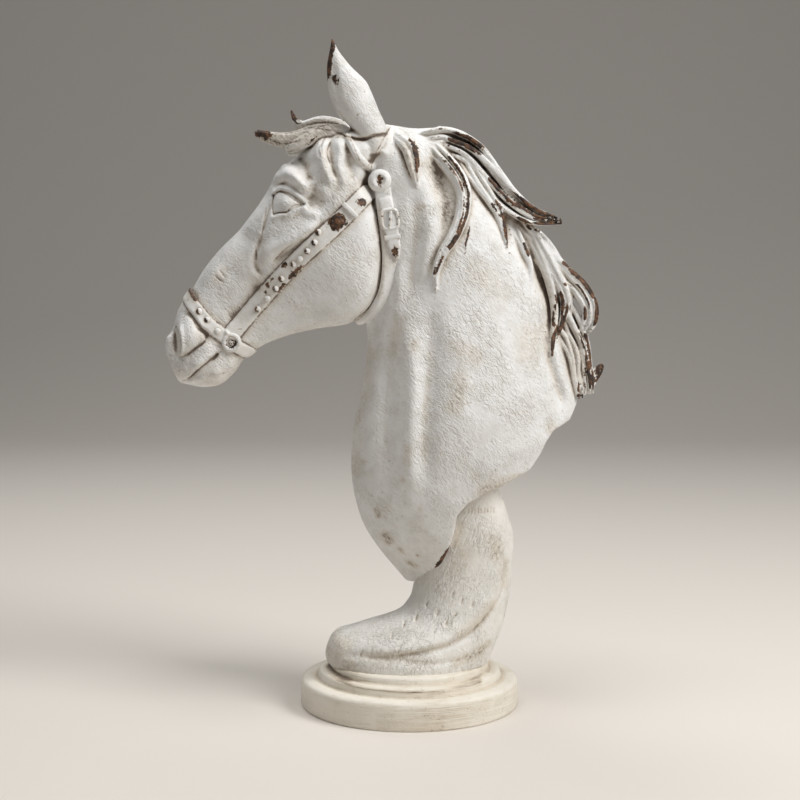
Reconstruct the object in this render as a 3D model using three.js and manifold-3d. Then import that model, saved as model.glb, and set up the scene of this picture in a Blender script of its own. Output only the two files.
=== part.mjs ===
// Horse head sculpture: a bridled bust on a curved stand and a round stepped plinth, cast as
// one piece. Millimetres, +Z up, muzzle toward -X, the horse's mid-plane at y = 0, and the
// origin at the centre of the plinth's underside.

import * as THREE from 'three';
import { mergeVertices } from 'three/addons/utils/BufferGeometryUtils.js';
import Module from 'manifold-3d';

const wasm = await Module();
wasm.setup();

// Driving dimensions of the bust and its stand
const HEAD_LENGTH = 206; // poll to lips, along the face
const NECK_HEIGHT = 302; // lowest tip of the chest to the top of the neck
const STAND_HEIGHT = 135; // plinth top to the stand's end inside the bust
const FACE_PITCH = 50; // degrees that the face slopes below level

// Driving dimensions of the plinth
const PLINTH_RADIUS = 73.5;
const PLINTH_WALL = 13; // straight wall below the rounded edge
const PLINTH_ROUND = 6; // height of the rounded edge over it
const GROOVE_WIDTH = 2.5;
const MIDDLE_STEP_RADIUS = 62;
const MIDDLE_STEP_HEIGHT = 5;
const TOP_STEP_RADIUS = 54;
const TOP_STEP_HEIGHT = 6;

// Driving dimensions of the bridle
const STRAP_WIDTH = 10;
const NOSEBAND_WIDTH = 8;
const THROAT_STRAP_WIDTH = 7;
const STRAP_THICKNESS = 1.8;
const STUD_DIAMETER = 5;
const ROSETTE_DIAMETER = 17;
const CHEEK_RING_DIAMETER = 13;
const BUCKLE_HEIGHT = 14;

// How finely the faceted surfaces are cut
const ROUND_SEGMENTS = 30;
const NECK_SIDES = 18;
const NECK_RINGS = 17;
const HEAD_SIDES = 16;
const HEAD_RINGS = 18;
const STAND_SIDES = 16;
const EAR_SIDES = 10;
const LOCK_SIDES = 5;

const plinthTop = PLINTH_WALL + PLINTH_ROUND + MIDDLE_STEP_HEIGHT + TOP_STEP_HEIGHT;

// The chest's lowest tip hangs at this share of the stand's height above the plinth
const CHEST_TIP_SHARE = 0.393;
const bustBase = plinthTop + STAND_HEIGHT * CHEST_TIP_SHARE;

// Neck sections in percent of NECK_HEIGHT: height, front edge, back edge, half width
const NECK_SECTIONS = [
  [0.3, -0.7, 19.9, 2.6], [3.0, -3.0, 23.8, 5.6], [7.0, -6.3, 28.1, 8.3],
  [12.3, -9.8, 31.5, 10.6], [18.9, -12.1, 34.8, 12.6], [26.8, -13.0, 36.8, 13.9],
  [35.4, -12.3, 37.4, 14.4], [46.0, -10.1, 36.6, 13.6], [53.6, -9.3, 34.8, 12.6],
  [59.3, -9.6, 33.1, 11.6], [66.9, -9.4, 30.8, 10.4], [75.2, -9.4, 27.6, 9.6],
  [83.4, -10.4, 22.8, 9.0], [90.1, -12, 18.5, 8.0], [95.7, -14, 13.6, 6.6],
  [99.4, -14, 9.4, 4.2], [101.6, -9, 5.0, 1.6],
];

// The bust's lower edge, where the sculptor cut it off, in percent of NECK_HEIGHT: x, height
const RIM = [
  [1.7, -1.0], [4.6, 1.3], [6.6, 4.3], [8.3, 8.3], [9.6, 12.6], [10.3, 16.9], [12.6, 19.5],
  [15.9, 21.5], [19.2, 22.8], [22.5, 24.5], [26.2, 26.5], [28.5, 29.8], [29.8, 32.5],
  [31.5, 34.8], [35.4, 36.8], [37.4, 40.4],
];

// Head sections in percent of HEAD_LENGTH: distance from the poll, face line, jaw line, half width
const HEAD_SECTIONS = [
  [-3, 6, 0, 9], [5, 13, -1, 12.5], [12, 16.5, -5, 14], [20, 18.7, -17.5, 15],
  [30, 19.3, -26, 15.5], [37, 18.3, -30, 15.5], [48, 17.3, -29.4, 13.2], [58, 18.3, -21.6, 11],
  [65, 18.3, -16.5, 9.8], [74, 17.2, -11.7, 9.2], [81, 16.6, -10, 9.9], [87, 14.4, -10.4, 10.5],
  [93, 12, -8.7, 9.4], [96.5, 8.2, -5, 7], [99.5, 2, 0.5, 2.6],
];

// Ear slices in percent of HEAD_LENGTH from the poll: height, front, back, half thickness
const EAR_SECTIONS = [
  [-2.5, -5.0, 3.0, 5.4], [4.4, -8.3, 2.7, 5.8], [11.7, -14.2, -0.4, 5.8], [16.5, -15.8, -2.4, 5.1],
  [19.7, -16.2, -4.0, 4.5], [24.3, -16.4, -8.7, 3.3], [30.1, -15.3, -13.2, 1.4],
  [32.9, -14.8, -14.5, 0.4],
];

// Stand slices: height in percent of STAND_HEIGHT, then left, right and half depth in percent
// of TOP_STEP_RADIUS
const STAND_SECTIONS = [
  [-4, -96, 96, 85], [0, -104, 100, 85], [8, -102, 108, 81], [13, -91, 113, 76],
  [17, -67, 117, 69], [20, -41, 119, 63], [24, -17, 121, 57], [30, -2, 124, 54],
  [40, 6, 127, 50], [52, 13, 130, 48], [63, 22, 130, 46], [74, 37, 123, 44],
  [86, 56, 112, 41], [100, 74, 96, 28],
];

// Locks of the mane on the photographed side: root to tip in percent of NECK_HEIGHT, with
// the width, the lift off the neck and the least distance from the mid-plane
const NEAR_LOCKS = [
  { width: 2.8, lift: 0.3, path: [[-3.3, 99], [-0.3, 96], [1.0, 91.4], [1.7, 87.1]] },
  { width: 3.4, lift: 0.5, path: [[5.6, 95.4], [8.9, 91.7], [11.3, 87.1], [11.3, 82.5],
    [9.6, 77.5], [7.0, 73.2], [5.6, 68.9], [5.6, 64.9]] },
  { width: 1.4, lift: 0, path: [[12.9, 81.8], [12.6, 78.1], [11.9, 74.5], [11.3, 71.5]] },
  { width: 3.0, lift: 0.2, path: [[10.5, 96], [14.6, 89.1], [17.2, 85.4], [19.2, 82.1],
    [20.5, 78.1], [21.2, 74.2]] },
  { width: 7.0, lift: 0, free: 3, path: [[6.6, 97], [11.9, 95.0], [17.5, 90.3], [21.9, 86.1],
    [26.2, 82.9], [33.0, 80.4]] },
  { width: 4.4, lift: 0, free: 0, path: [[3.0, 98.4], [7.5, 99.2], [11.6, 97.8], [15.4, 94.0],
    [19.0, 89.4], [22.6, 84.6]] },
  { width: 1.8, lift: 0.2, path: [[22.8, 79.0], [24.8, 74.5], [26.2, 70.9], [26.5, 66.0]] },
  { width: 2.4, lift: 0.5, free: 2.2, path: [[26.0, 80.0], [29.0, 74.6], [31.8, 69.2], [34.2, 63.8],
    [33.6, 58.6], [32.2, 54.3]] },
  { width: 2.0, lift: 0.2, free: 2.2, path: [[26.0, 78.0], [30.4, 68.0], [31.8, 61.3],
    [31.5, 55.6], [31.0, 50.7]] },
  { width: 4.6, lift: 0, free: 0.8, path: [[22.0, 82], [26.8, 77.0], [31.0, 72.6], [35.0, 69.0],
    [38.2, 66.0], [39.6, 62.4], [38.8, 58.6], [36.0, 55.4]] },
  { width: 5.0, lift: 0, free: 0, path: [[27.0, 76.0], [30.4, 70.4], [32.4, 64.6], [33.4, 58.0]] },
  { width: 5.6, lift: 0, free: 0, path: [[32.4, 63.0], [35.4, 57.6], [37.6, 53.0],
    [38.0, 48.0], [38.4, 43.0], [38.8, 39.8]] },
  { width: 2.2, lift: 0, free: -1.5, path: [[37.0, 55.0], [39.6, 50.6], [43.0, 48.4]] },
  { width: 3.0, lift: 0, free: 1.5, path: [[33.6, 56.6], [36.0, 50.6], [36.6, 45.8],
    [37.6, 41.0]] },
];

// Forelock strands in percent of HEAD_LENGTH from the poll: x, distance off the mid-plane, height
const FORELOCK = [
  { width: 7.0, path: [[-8, 2, 3.0], [-20, 3, 3.8], [-28, 3.5, 2.0], [-35.5, 3.5, 2.8],
    [-41, 3, 5.0]] },
  { width: 6.0, path: [[-10, -1, 5.0], [-19, -2, 7.2], [-26, -3, 6.6], [-28.8, -3.5, 12.2]] },
  { width: 6.0, path: [[-8, 6, 4.0], [-18, 7.5, 3.6], [-25, 8, 0.6], [-31, 7, -2.0]] },
  { width: 6.0, path: [[-8, -6, 4.0], [-18, -8, 3.6], [-25, -9, 0], [-32, -8.5, -2.0]] },
];

// Shape of the far mane: wavy locks that fall side by side from the crest
const FAR_LOCK_COUNT = 9;
const FAR_LOCK_TOP = 96; // percent of NECK_HEIGHT
const FAR_LOCK_STEP = 5.2;
const FAR_LOCK_FALL = [0, -5.5, -12, -18.5, -25];
const FAR_LOCK_DRIFT = [-1.5, -5.0, -9.2, -10.2, -14.5];

// Bridle lines in percent of HEAD_LENGTH: distance from the poll, height over the head's axis
const CHEEK_STRAP = [[10.5, -6.4], [77.5, -4.7]];
const NOSEBAND = [[74.6, 17.5], [79.2, -11.5]];
const THROAT_STRAP = [
  [9, -8.5, 12.6], [14.9, -16.8, 12.0], [20.2, -22.5, 11.2], [26.5, -27.9, 10.2],
  [33.4, -32.0, 8.2], [41, -35.3, 5.2], [46.4, -36.4, 0],
];
const THROAT_CENTRE = [20, -14];
const ROSETTE = [7.6, -6.4];
const ROSETTE_OUT = 10.8;
const BUCKLE = [15.2, -17.2];
const BUCKLE_OUT = 11.9;
const CHEEK_STUDS = 9;
const NOSEBAND_STUDS = 3;

const EYE = [35.6, 10.6];
const EYE_DIAMETER = 17;
const BROW = [[41.5, 12.6], [37.5, 15.4], [32.5, 15.2], [28.5, 11.6], [25.5, 7.4]];
const CHEEK_CREST = [[28.6, -1.6], [38.6, 0.6], [48, 2.4], [58, 3.6]];
const NOSTRIL = [[82.4, 11.0], [86.4, 10.4], [90.4, 8.2], [92.8, 4.8]];
const MOUTH = [[98.5, 1.0], [95.5, -1.0], [91.3, -3.5], [86.4, -4.4], [82.4, -4.4]];

// The stand's spiral hollow, in percent: x of the top step's radius, height of the stand
const STAND_GROOVE = [[113, 44], [110, 36], [97, 28], [80, 20.5], [54, 15.5], [17, 11.6], [-19, 9.5]];

const percent = (length) => (share) => (share * length) / 100;
const ofHead = percent(HEAD_LENGTH);
const ofNeck = percent(NECK_HEIGHT);
const ofStand = percent(STAND_HEIGHT);
const ofTopStep = percent(TOP_STEP_RADIUS);

const faceAngle = THREE.MathUtils.degToRad(FACE_PITCH);
const alongFace = new THREE.Vector3(-Math.cos(faceAngle), 0, -Math.sin(faceAngle));
const acrossFace = new THREE.Vector3(-Math.sin(faceAngle), 0, Math.cos(faceAngle));
const poll = onNeck(-6.6, 0, 96.7);

function onNeck(x, y, height) {
  return new THREE.Vector3(ofNeck(x), ofNeck(y), bustBase + ofNeck(height));
}

function onHead(along, across, side) {
  return poll.clone()
    .addScaledVector(alongFace, ofHead(along))
    .addScaledVector(acrossFace, ofHead(across))
    .add(new THREE.Vector3(0, ofHead(side), 0));
}

function besidePoll(x, y, height) {
  return poll.clone().add(new THREE.Vector3(ofHead(x), ofHead(y), ofHead(height)));
}

// Smooth values between the rows of a table whose first column is the position
function smoothRows(rows) {
  const values = rows.flatMap((row) => row.slice(1));
  const curve = new THREE.CubicInterpolant(rows.map((row) => row[0]), values, rows[0].length - 1);
  return (position) => Array.from(curve.evaluate(position));
}

// Half width of a section at a place from -1, its lower or front end, to 1, its other end
function sectionWidth(place, lower, upper) {
  const [power, root] = place < 0 ? lower : upper;
  return Math.max(0, 1 - Math.abs(place) ** power) ** root;
}

const NECK_FRONT_FORM = [2, 0.58];
const NECK_CREST_FORM = [1.7, 0.7];
const NECK_WIDEST = 0.42; // share of the neck's depth, from the front
const HEAD_JAW_FORM = [6, 0.3];
const HEAD_FACE_FORM = [2.6, 0.5];
const HEAD_WIDEST = 0.62; // share of the head's depth, from the jaw

// A ring through a section's outline, from one end round to the other and back
function sectionRing(sides, lowEnd, highEnd, widest, halfWidth, forms, place) {
  const middle = lowEnd + (highEnd - lowEnd) * widest;
  return Array.from({ length: sides }, (unused, side) => {
    const angle = (side / sides) * 2 * Math.PI;
    const share = -Math.cos(angle);
    const reach = share < 0 ? middle - lowEnd : highEnd - middle;
    const width = halfWidth * sectionWidth(share, ...forms) * Math.sign(Math.sin(angle));
    return place(middle + reach * share, Math.abs(Math.sin(angle)) < 1e-9 ? 0 : width);
  });
}

// A closed solid from vertices and triangles, turned so that its faces point out
function closedGeometry(positions, triangles) {
  const corner = (index) => new THREE.Vector3().fromArray(positions, index * 3);
  const volume = triangles.reduce(
    (sum, [a, b, c]) => sum + corner(a).dot(corner(b).cross(corner(c))), 0);
  const outward = volume < 0 ? triangles.map(([a, b, c]) => [a, c, b]) : triangles;
  const geometry = new THREE.BufferGeometry();
  geometry.setAttribute('position', new THREE.Float32BufferAttribute(positions, 3));
  geometry.setIndex(outward.flat());
  return geometry;
}

// A closed solid through rings with the same number of points, capped at both ends
function loft(rings) {
  const sides = rings[0].length;
  const positions = rings.flat().flatMap((point) => point.toArray());
  const triangles = [];
  for (let ring = 0; ring < rings.length - 1; ring += 1) {
    for (let side = 0; side < sides; side += 1) {
      const a = ring * sides + side;
      const b = ring * sides + ((side + 1) % sides);
      triangles.push([a, b, b + sides], [a, b + sides, a + sides]);
    }
  }
  [0, rings.length - 1].forEach((ring, end) => {
    const middle = rings[ring].reduce((sum, point) => sum.add(point), new THREE.Vector3());
    positions.push(...middle.divideScalar(sides).toArray());
    for (let side = 0; side < sides; side += 1) {
      const a = ring * sides + side;
      const b = ring * sides + ((side + 1) % sides);
      triangles.push(end === 0 ? [b, a, rings.length * sides] : [a, b, rings.length * sides + 1]);
    }
  });
  return closedGeometry(positions, triangles);
}

// A block whose outline lies in the X-Z plane and that runs the same depth to both sides
function prism(outline, halfDepth) {
  const shape = new THREE.Shape(outline.map((point) => new THREE.Vector2(point.x, point.z)));
  const geometry = new THREE.ExtrudeGeometry(shape, { depth: 2 * halfDepth, bevelEnabled: false });
  return geometry.rotateX(Math.PI / 2).translate(0, halfDepth, 0);
}

function toSolid(geometry) {
  geometry.deleteAttribute('normal');
  geometry.deleteAttribute('uv');
  const merged = mergeVertices(geometry, 1e-4);
  return new wasm.Manifold(new wasm.Mesh({
    numProp: 3,
    vertProperties: new Float32Array(merged.attributes.position.array),
    triVerts: new Uint32Array(merged.index.array),
  }));
}

function toGeometry(solid) {
  const mesh = solid.getMesh();
  const geometry = new THREE.BufferGeometry();
  geometry.setAttribute('position', new THREE.BufferAttribute(mesh.vertProperties, 3));
  geometry.setIndex(new THREE.BufferAttribute(mesh.triVerts, 1));
  geometry.computeVertexNormals();
  return geometry;
}

// Overlapping forms as one casting; a pocket sealed between them is filled, as in the mould
function castTogether(solids) {
  const shells = wasm.Manifold.union(solids).decompose();
  return wasm.Manifold.compose(shells.filter((shell) => shell.volume() > 0));
}

const neckAt = smoothRows(NECK_SECTIONS);
const headAt = smoothRows(HEAD_SECTIONS);

// Half width of the neck at a place on its profile, in percent of NECK_HEIGHT
function neckSide(x, height) {
  const [front, back, half] = neckAt(height);
  const middle = front + (back - front) * NECK_WIDEST;
  const share = x < middle ? (x - middle) / (middle - front) : (x - middle) / (back - middle);
  return half * sectionWidth(share, NECK_FRONT_FORM, NECK_CREST_FORM);
}

// Half width of the head at a place on its profile, in percent of HEAD_LENGTH
function headSide(along, across) {
  const [face, jaw, half] = headAt(along);
  const middle = jaw + (face - jaw) * HEAD_WIDEST;
  const share = across < middle ? (across - middle) / (middle - jaw) : (across - middle) / (face - middle);
  return half * sectionWidth(share, HEAD_JAW_FORM, HEAD_FACE_FORM);
}

function evenly(count, from, to) {
  return Array.from({ length: count }, (unused, step) => from + ((to - from) * step) / (count - 1));
}

function neckSolid() {
  const rings = evenly(NECK_RINGS, NECK_SECTIONS[0][0], NECK_SECTIONS.at(-1)[0]).map((height) => {
    const [front, back, half] = neckAt(height);
    return sectionRing(NECK_SIDES, front, back, NECK_WIDEST, half,
      [NECK_FRONT_FORM, NECK_CREST_FORM], (x, y) => onNeck(x, y, height));
  });
  const cutDepth = NECK_HEIGHT;
  const beyond = [onNeck(70, 0, 40.4), onNeck(70, 0, -20), onNeck(1.7, 0, -20)];
  const cut = prism([...RIM.map(([x, height]) => onNeck(x, 0, height)), ...beyond], cutDepth);
  return toSolid(loft(rings)).subtract(toSolid(cut));
}

// The head's form, or a skin that stands proud of it by some millimetres
function headLoft(proud) {
  const extra = (100 * proud) / HEAD_LENGTH;
  const rings = evenly(HEAD_RINGS, -3, 99.5).map((along) => {
    const [face, jaw, half] = headAt(along);
    return sectionRing(HEAD_SIDES, jaw - extra, face + extra, HEAD_WIDEST, half + extra,
      [HEAD_JAW_FORM, HEAD_FACE_FORM], (across, side) => onHead(along, across, side));
  });
  return toSolid(loft(rings));
}

// A strand along a curve: broad near its root, pointed at its tip, thinner than it is wide.
// facingAt gives the way its broad side faces.
function strand(points, width, thickness, rings, tip, facingAt) {
  const curve = new THREE.CatmullRomCurve3(points, false, 'centripetal');
  return toSolid(loft(evenly(rings, 0, 1).map((share) => {
    const centre = curve.getPointAt(share);
    const tangent = curve.getTangentAt(share);
    const facing = facingAt(centre);
    const outward = facing.addScaledVector(tangent, -facing.dot(tangent)).normalize();
    const broad = new THREE.Vector3().crossVectors(tangent, outward);
    const fullness = tip + (1 - tip) * (0.6 + 0.4 * Math.min(1, share * 3)) * (1 - share ** 3);
    return Array.from({ length: LOCK_SIDES }, (unused, side) => {
      const angle = (0.25 + side / LOCK_SIDES) * 2 * Math.PI;
      return centre.clone()
        .addScaledVector(broad, (width / 2) * fullness * Math.cos(angle))
        .addScaledVector(outward, (thickness / 2) * Math.sqrt(fullness) * Math.sin(angle));
    });
  })));
}

const LOCK_THICKNESS_SHARE = 0.8;
const LOCK_TIP = 0.12;

function maneLock({ width, lift, free = 0, path }, side) {
  const points = path.map(([x, height]) => {
    const out = Math.max(neckSide(x, height) + lift, free);
    return onNeck(x, side * (free < 0 ? free : out), height);
  });
  const breadth = ofNeck(width);
  return strand(points, breadth, breadth * LOCK_THICKNESS_SHARE, 1 + path.length, LOCK_TIP,
    () => new THREE.Vector3(0, side, 0));
}

function mane() {
  const far = Array.from({ length: FAR_LOCK_COUNT }, (unused, number) => {
    const height = FAR_LOCK_TOP - FAR_LOCK_STEP * number;
    const [, crest] = neckAt(height);
    const path = FAR_LOCK_FALL.map((fall, step) => {
      const sway = 0.9 * Math.sin(number * 1.7 + step * 2.1);
      return [crest + FAR_LOCK_DRIFT[step] + sway, height + fall];
    });
    return maneLock({ width: 4.2 + 0.8 * Math.sin(number * 2.3), lift: 0.4, free: 1.5, path }, 1);
  });
  return [...NEAR_LOCKS.map((lock) => maneLock(lock, -1)), ...far];
}

function forelock() {
  return FORELOCK.map(({ width, path }) => {
    const points = path.map(([x, y, height]) => besidePoll(x, -y, height));
    const breadth = ofHead(width);
    return strand(points, breadth, breadth * LOCK_THICKNESS_SHARE, 1 + path.length, LOCK_TIP,
      () => new THREE.Vector3(-0.3, 0, 1));
  });
}

// An ear with a cup hollowed into its front; side is -1 for the photographed one
function ear(side) {
  const earAt = smoothRows(EAR_SECTIONS);
  const [lowest, highest] = [EAR_SECTIONS[0][0], EAR_SECTIONS.at(-1)[0]];
  const slices = (heights, edges) => loft(heights.map((height) => {
    const [front, back, half, middle] = edges(height);
    return Array.from({ length: EAR_SIDES }, (unused, corner) => {
      const angle = (corner / EAR_SIDES) * 2 * Math.PI;
      return besidePoll((front + back) / 2 + ((back - front) / 2) * Math.cos(angle),
        side * (middle + half * Math.sin(angle)), height);
    });
  }));
  const lean = (height) => 6.8 + 0.14 * height;
  const shell = slices(evenly(8, lowest, highest), (height) => [...earAt(height), lean(height)]);
  const cup = slices(evenly(5, 5, 29), (height) => {
    const [front, back, half] = earAt(height);
    const open = Math.sin((Math.PI * (height - 3)) / 28);
    const depth = (back - front) * (0.1 + 0.55 * open);
    return [front - 4, front + depth, half * 0.62, lean(height) - half * 0.7];
  });
  return toSolid(shell).subtract(toSolid(cup));
}

// A band across the head's profile, given by the line that it runs along and its width
function headBand([from, to], width) {
  const start = onHead(...from, 0);
  const end = onHead(...to, 0);
  const run = end.clone().sub(start).normalize();
  const edge = new THREE.Vector3(-run.z, 0, run.x).multiplyScalar(width / 2);
  const outline = [start.clone().add(edge), end.clone().add(edge),
    end.clone().sub(edge), start.clone().sub(edge)];
  return toSolid(prism(outline, HEAD_LENGTH));
}

const BOSS_SIDES = 8;
const BOSS_DEPTH = 9;
const BOSS_BEVEL = 1.2;

// A round bevelled boss that faces out of the head's side
function boss(centre, diameter, side) {
  const geometry = new THREE.CylinderGeometry(
    diameter / 2 - BOSS_BEVEL, diameter / 2, BOSS_DEPTH, BOSS_SIDES);
  return toSolid(geometry.rotateX(side * Math.PI / 2).translate(centre.x, centre.y, centre.z));
}

function dome(centre, diameter) {
  const geometry = new THREE.SphereGeometry(diameter / 2, 5, 3);
  return toSolid(geometry.rotateX(Math.PI / 2).translate(centre.x, centre.y, centre.z));
}

function buckle(centre) {
  const block = new THREE.BoxGeometry(THROAT_STRAP_WIDTH + 3, 3 * STRAP_THICKNESS, BUCKLE_HEIGHT);
  return toSolid(block.rotateY(-0.15).translate(centre.x, centre.y, centre.z));
}

// A place on the head's side, standing proud of it by some millimetres
function onHeadSide([along, across], side, proud) {
  const point = onHead(along, across, side * headSide(along, across));
  return point.add(new THREE.Vector3(0, side * proud, 0));
}

function alongLine([from, to], count, first, last, side, proud) {
  return evenly(count, first, last).map((share) => {
    const place = [from[0] + (to[0] - from[0]) * share, from[1] + (to[1] - from[1]) * share];
    return onHeadSide(place, side, proud);
  });
}

// Forms of one side of the face: the eye under its brow, and the bone that runs down the cheek
function faceForms(side) {
  const sideways = () => new THREE.Vector3(0, side, 0);
  const sunk = -0.36 * EYE_DIAMETER;
  return [
    dome(onHeadSide(EYE, side, sunk), EYE_DIAMETER),
    strand(BROW.map((place) => onHeadSide(place, side, 0)), 7, 5, 7, 0.4, sideways),
    strand(CHEEK_CREST.map((place) => onHeadSide(place, side, -0.4)), 7, 4, 6, 0.3, sideways),
  ];
}

// Hollows of one side of the face: the nostril and the line between the lips
function faceHollows(side) {
  const sideways = () => new THREE.Vector3(0, side, 0);
  return [
    strand(NOSTRIL.map((place) => onHeadSide(place, side, 0)), 6, 8, 6, 0.4, sideways),
    strand(MOUTH.map((place) => onHeadSide(place, side, 0.4)), 2, 5, 7, 0.4, sideways),
  ];
}

function bridle(skin) {
  const bands = skin.intersect(
    headBand(CHEEK_STRAP, STRAP_WIDTH).add(headBand(NOSEBAND, NOSEBAND_WIDTH)));
  const near = THROAT_STRAP.map(([along, across, out]) => onHead(along, across, -out));
  const far = near.slice(0, -1).reverse().map((point) => new THREE.Vector3(point.x, -point.y, point.z));
  const throatCentre = onHead(...THROAT_CENTRE, 0);
  const throat = strand([...near, ...far], THROAT_STRAP_WIDTH, 2 * STRAP_THICKNESS, 19, 0.9,
    (point) => point.clone().sub(throatCentre));
  const fittings = [-1, 1].flatMap((side) => {
    const studs = [
      ...alongLine(CHEEK_STRAP, CHEEK_STUDS, 0.3, 0.92, side, STRAP_THICKNESS),
      ...alongLine(NOSEBAND, NOSEBAND_STUDS, 0.3, 0.6, side, STRAP_THICKNESS),
    ].map((centre) => dome(centre, STUD_DIAMETER));
    const [cheekRing] = alongLine(CHEEK_STRAP, 2, 1, 1, side, STRAP_THICKNESS);
    return [
      ...studs,
      boss(cheekRing, CHEEK_RING_DIAMETER, side),
      boss(onHead(...ROSETTE, side * ROSETTE_OUT), ROSETTE_DIAMETER, side),
      buckle(onHead(...BUCKLE, side * BUCKLE_OUT)),
    ];
  });
  return [bands, throat, ...fittings];
}

// A round plinth: a rounded lower disc, a groove and two steps
function plinth() {
  const discTop = PLINTH_WALL + PLINTH_ROUND;
  const grooveRadius = MIDDLE_STEP_RADIUS + GROOVE_WIDTH;
  const profile = [[0, 0], [PLINTH_RADIUS - 1.5, 0], [PLINTH_RADIUS, 1.5], [PLINTH_RADIUS, PLINTH_WALL]];
  const rounding = PLINTH_RADIUS - grooveRadius - GROOVE_WIDTH;
  for (const angle of [45, 90]) {
    const turn = THREE.MathUtils.degToRad(angle);
    profile.push([PLINTH_RADIUS - rounding * (1 - Math.cos(turn)),
      PLINTH_WALL + PLINTH_ROUND * Math.sin(turn)]);
  }
  profile.push(
    [grooveRadius, discTop - GROOVE_WIDTH],
    [MIDDLE_STEP_RADIUS, discTop - GROOVE_WIDTH / 2],
    [MIDDLE_STEP_RADIUS, discTop + MIDDLE_STEP_HEIGHT - 1.5],
    [MIDDLE_STEP_RADIUS - 2, discTop + MIDDLE_STEP_HEIGHT],
    [TOP_STEP_RADIUS + 2, discTop + MIDDLE_STEP_HEIGHT],
    [TOP_STEP_RADIUS, plinthTop - 2],
    [TOP_STEP_RADIUS - 2, plinthTop],
    [0, plinthTop],
  );
  const points = profile.map(([radius, height]) => new THREE.Vector2(radius, height));
  return toSolid(new THREE.LatheGeometry(points, ROUND_SEGMENTS).rotateX(Math.PI / 2));
}

function onStand(x, y, height) {
  return new THREE.Vector3(ofTopStep(x), ofTopStep(y), plinthTop + ofStand(height));
}

// The stand: a broad foot that sweeps to the right and rises into the bust
function stand() {
  const standAt = smoothRows(STAND_SECTIONS);
  const rings = STAND_SECTIONS.map(([height]) => {
    const [left, right, half] = standAt(height);
    return Array.from({ length: STAND_SIDES }, (unused, side) => {
      const angle = (side / STAND_SIDES) * 2 * Math.PI;
      return onStand((left + right) / 2 + ((right - left) / 2) * Math.cos(angle),
        half * Math.sin(angle), height);
    });
  });
  return toSolid(loft(rings));
}

const GROOVE_BREADTH = 5;
const GROOVE_DEPTH = 5;

function standHollow(side) {
  const standAt = smoothRows(STAND_SECTIONS);
  const points = STAND_GROOVE.map(([x, height]) => {
    const [left, right, half] = standAt(height);
    const share = (2 * x - left - right) / (right - left);
    return onStand(x, side * half * Math.sqrt(Math.max(0, 1 - share ** 2)), height);
  });
  return strand(points, GROOVE_BREADTH, GROOVE_DEPTH, 10, 0.3, () => new THREE.Vector3(0, side, 0));
}

function sculpture() {
  const sides = [-1, 1];
  const head = headLoft(0).subtract(wasm.Manifold.union(sides.flatMap(faceHollows)));
  return castTogether([
    neckSolid(), head, ...sides.map(ear), ...sides.flatMap(faceForms),
    stand().subtract(wasm.Manifold.union(sides.map(standHollow))), plinth(),
    ...bridle(headLoft(STRAP_THICKNESS)), ...mane(), ...forelock(),
  ]);
}

const castResin = new THREE.MeshStandardMaterial({ color: '#e4e1da', roughness: 0.7, metalness: 0 });

const horseHeadSculpture = new THREE.Group();
const mesh = new THREE.Mesh(toGeometry(sculpture()), castResin);
mesh.name = 'horse_head_sculpture';
horseHeadSculpture.add(mesh);

export default horseHeadSculpture;
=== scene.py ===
"""A cast and painted horse head on a curved stand, modelled in clay-like voxels."""

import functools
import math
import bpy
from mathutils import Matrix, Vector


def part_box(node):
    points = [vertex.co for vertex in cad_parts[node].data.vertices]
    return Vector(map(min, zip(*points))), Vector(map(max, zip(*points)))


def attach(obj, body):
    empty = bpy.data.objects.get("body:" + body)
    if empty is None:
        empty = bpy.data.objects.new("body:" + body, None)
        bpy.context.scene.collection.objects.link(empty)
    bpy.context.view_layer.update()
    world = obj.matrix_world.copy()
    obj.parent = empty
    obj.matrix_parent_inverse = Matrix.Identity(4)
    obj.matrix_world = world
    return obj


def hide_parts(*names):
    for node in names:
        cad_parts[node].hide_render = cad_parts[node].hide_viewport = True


bl_info = {
    "name": "Painted horse head sculpture",
    "version": (1, 0, 0),
    "blender": (4, 5, 0),
    "location": "3D View > Sidebar > Horse head",
    "description": "Sculpts and paints a cast horse head on its stand and round plinth",
    "category": "Add Mesh",
}

import bpy
import numpy as np
import openvdb
from bpy.props import FloatProperty, FloatVectorProperty, PointerProperty
from mathutils import Vector

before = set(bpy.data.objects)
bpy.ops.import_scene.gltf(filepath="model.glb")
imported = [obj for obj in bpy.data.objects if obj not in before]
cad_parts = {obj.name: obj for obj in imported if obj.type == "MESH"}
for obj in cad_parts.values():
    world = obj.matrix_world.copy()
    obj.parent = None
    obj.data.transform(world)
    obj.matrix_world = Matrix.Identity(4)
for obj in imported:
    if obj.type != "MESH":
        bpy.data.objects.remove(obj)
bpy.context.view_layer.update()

CASTING = "horse_head_sculpture"
MM = 0.001

# Driving sizes in millimetres, from the frame: height to the ear's tip and the plinth's width
lowest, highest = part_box(CASTING)
OVERALL_HEIGHT = (highest[2] - lowest[2]) / MM
PLINTH_RADIUS = (highest[1] - lowest[1]) / MM / 2
NECK_HEIGHT = 0.6819 * OVERALL_HEIGHT
HEAD_LENGTH = 0.4652 * OVERALL_HEIGHT
STAND_HEIGHT = 0.3048 * OVERALL_HEIGHT
PLINTH_HEIGHT = 0.0677 * OVERALL_HEIGHT
BUST_BASE = PLINTH_HEIGHT + 0.393 * STAND_HEIGHT
TOP_STEP_RADIUS = 0.7347 * PLINTH_RADIUS
FACE_PITCH = math.radians(50)

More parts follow.
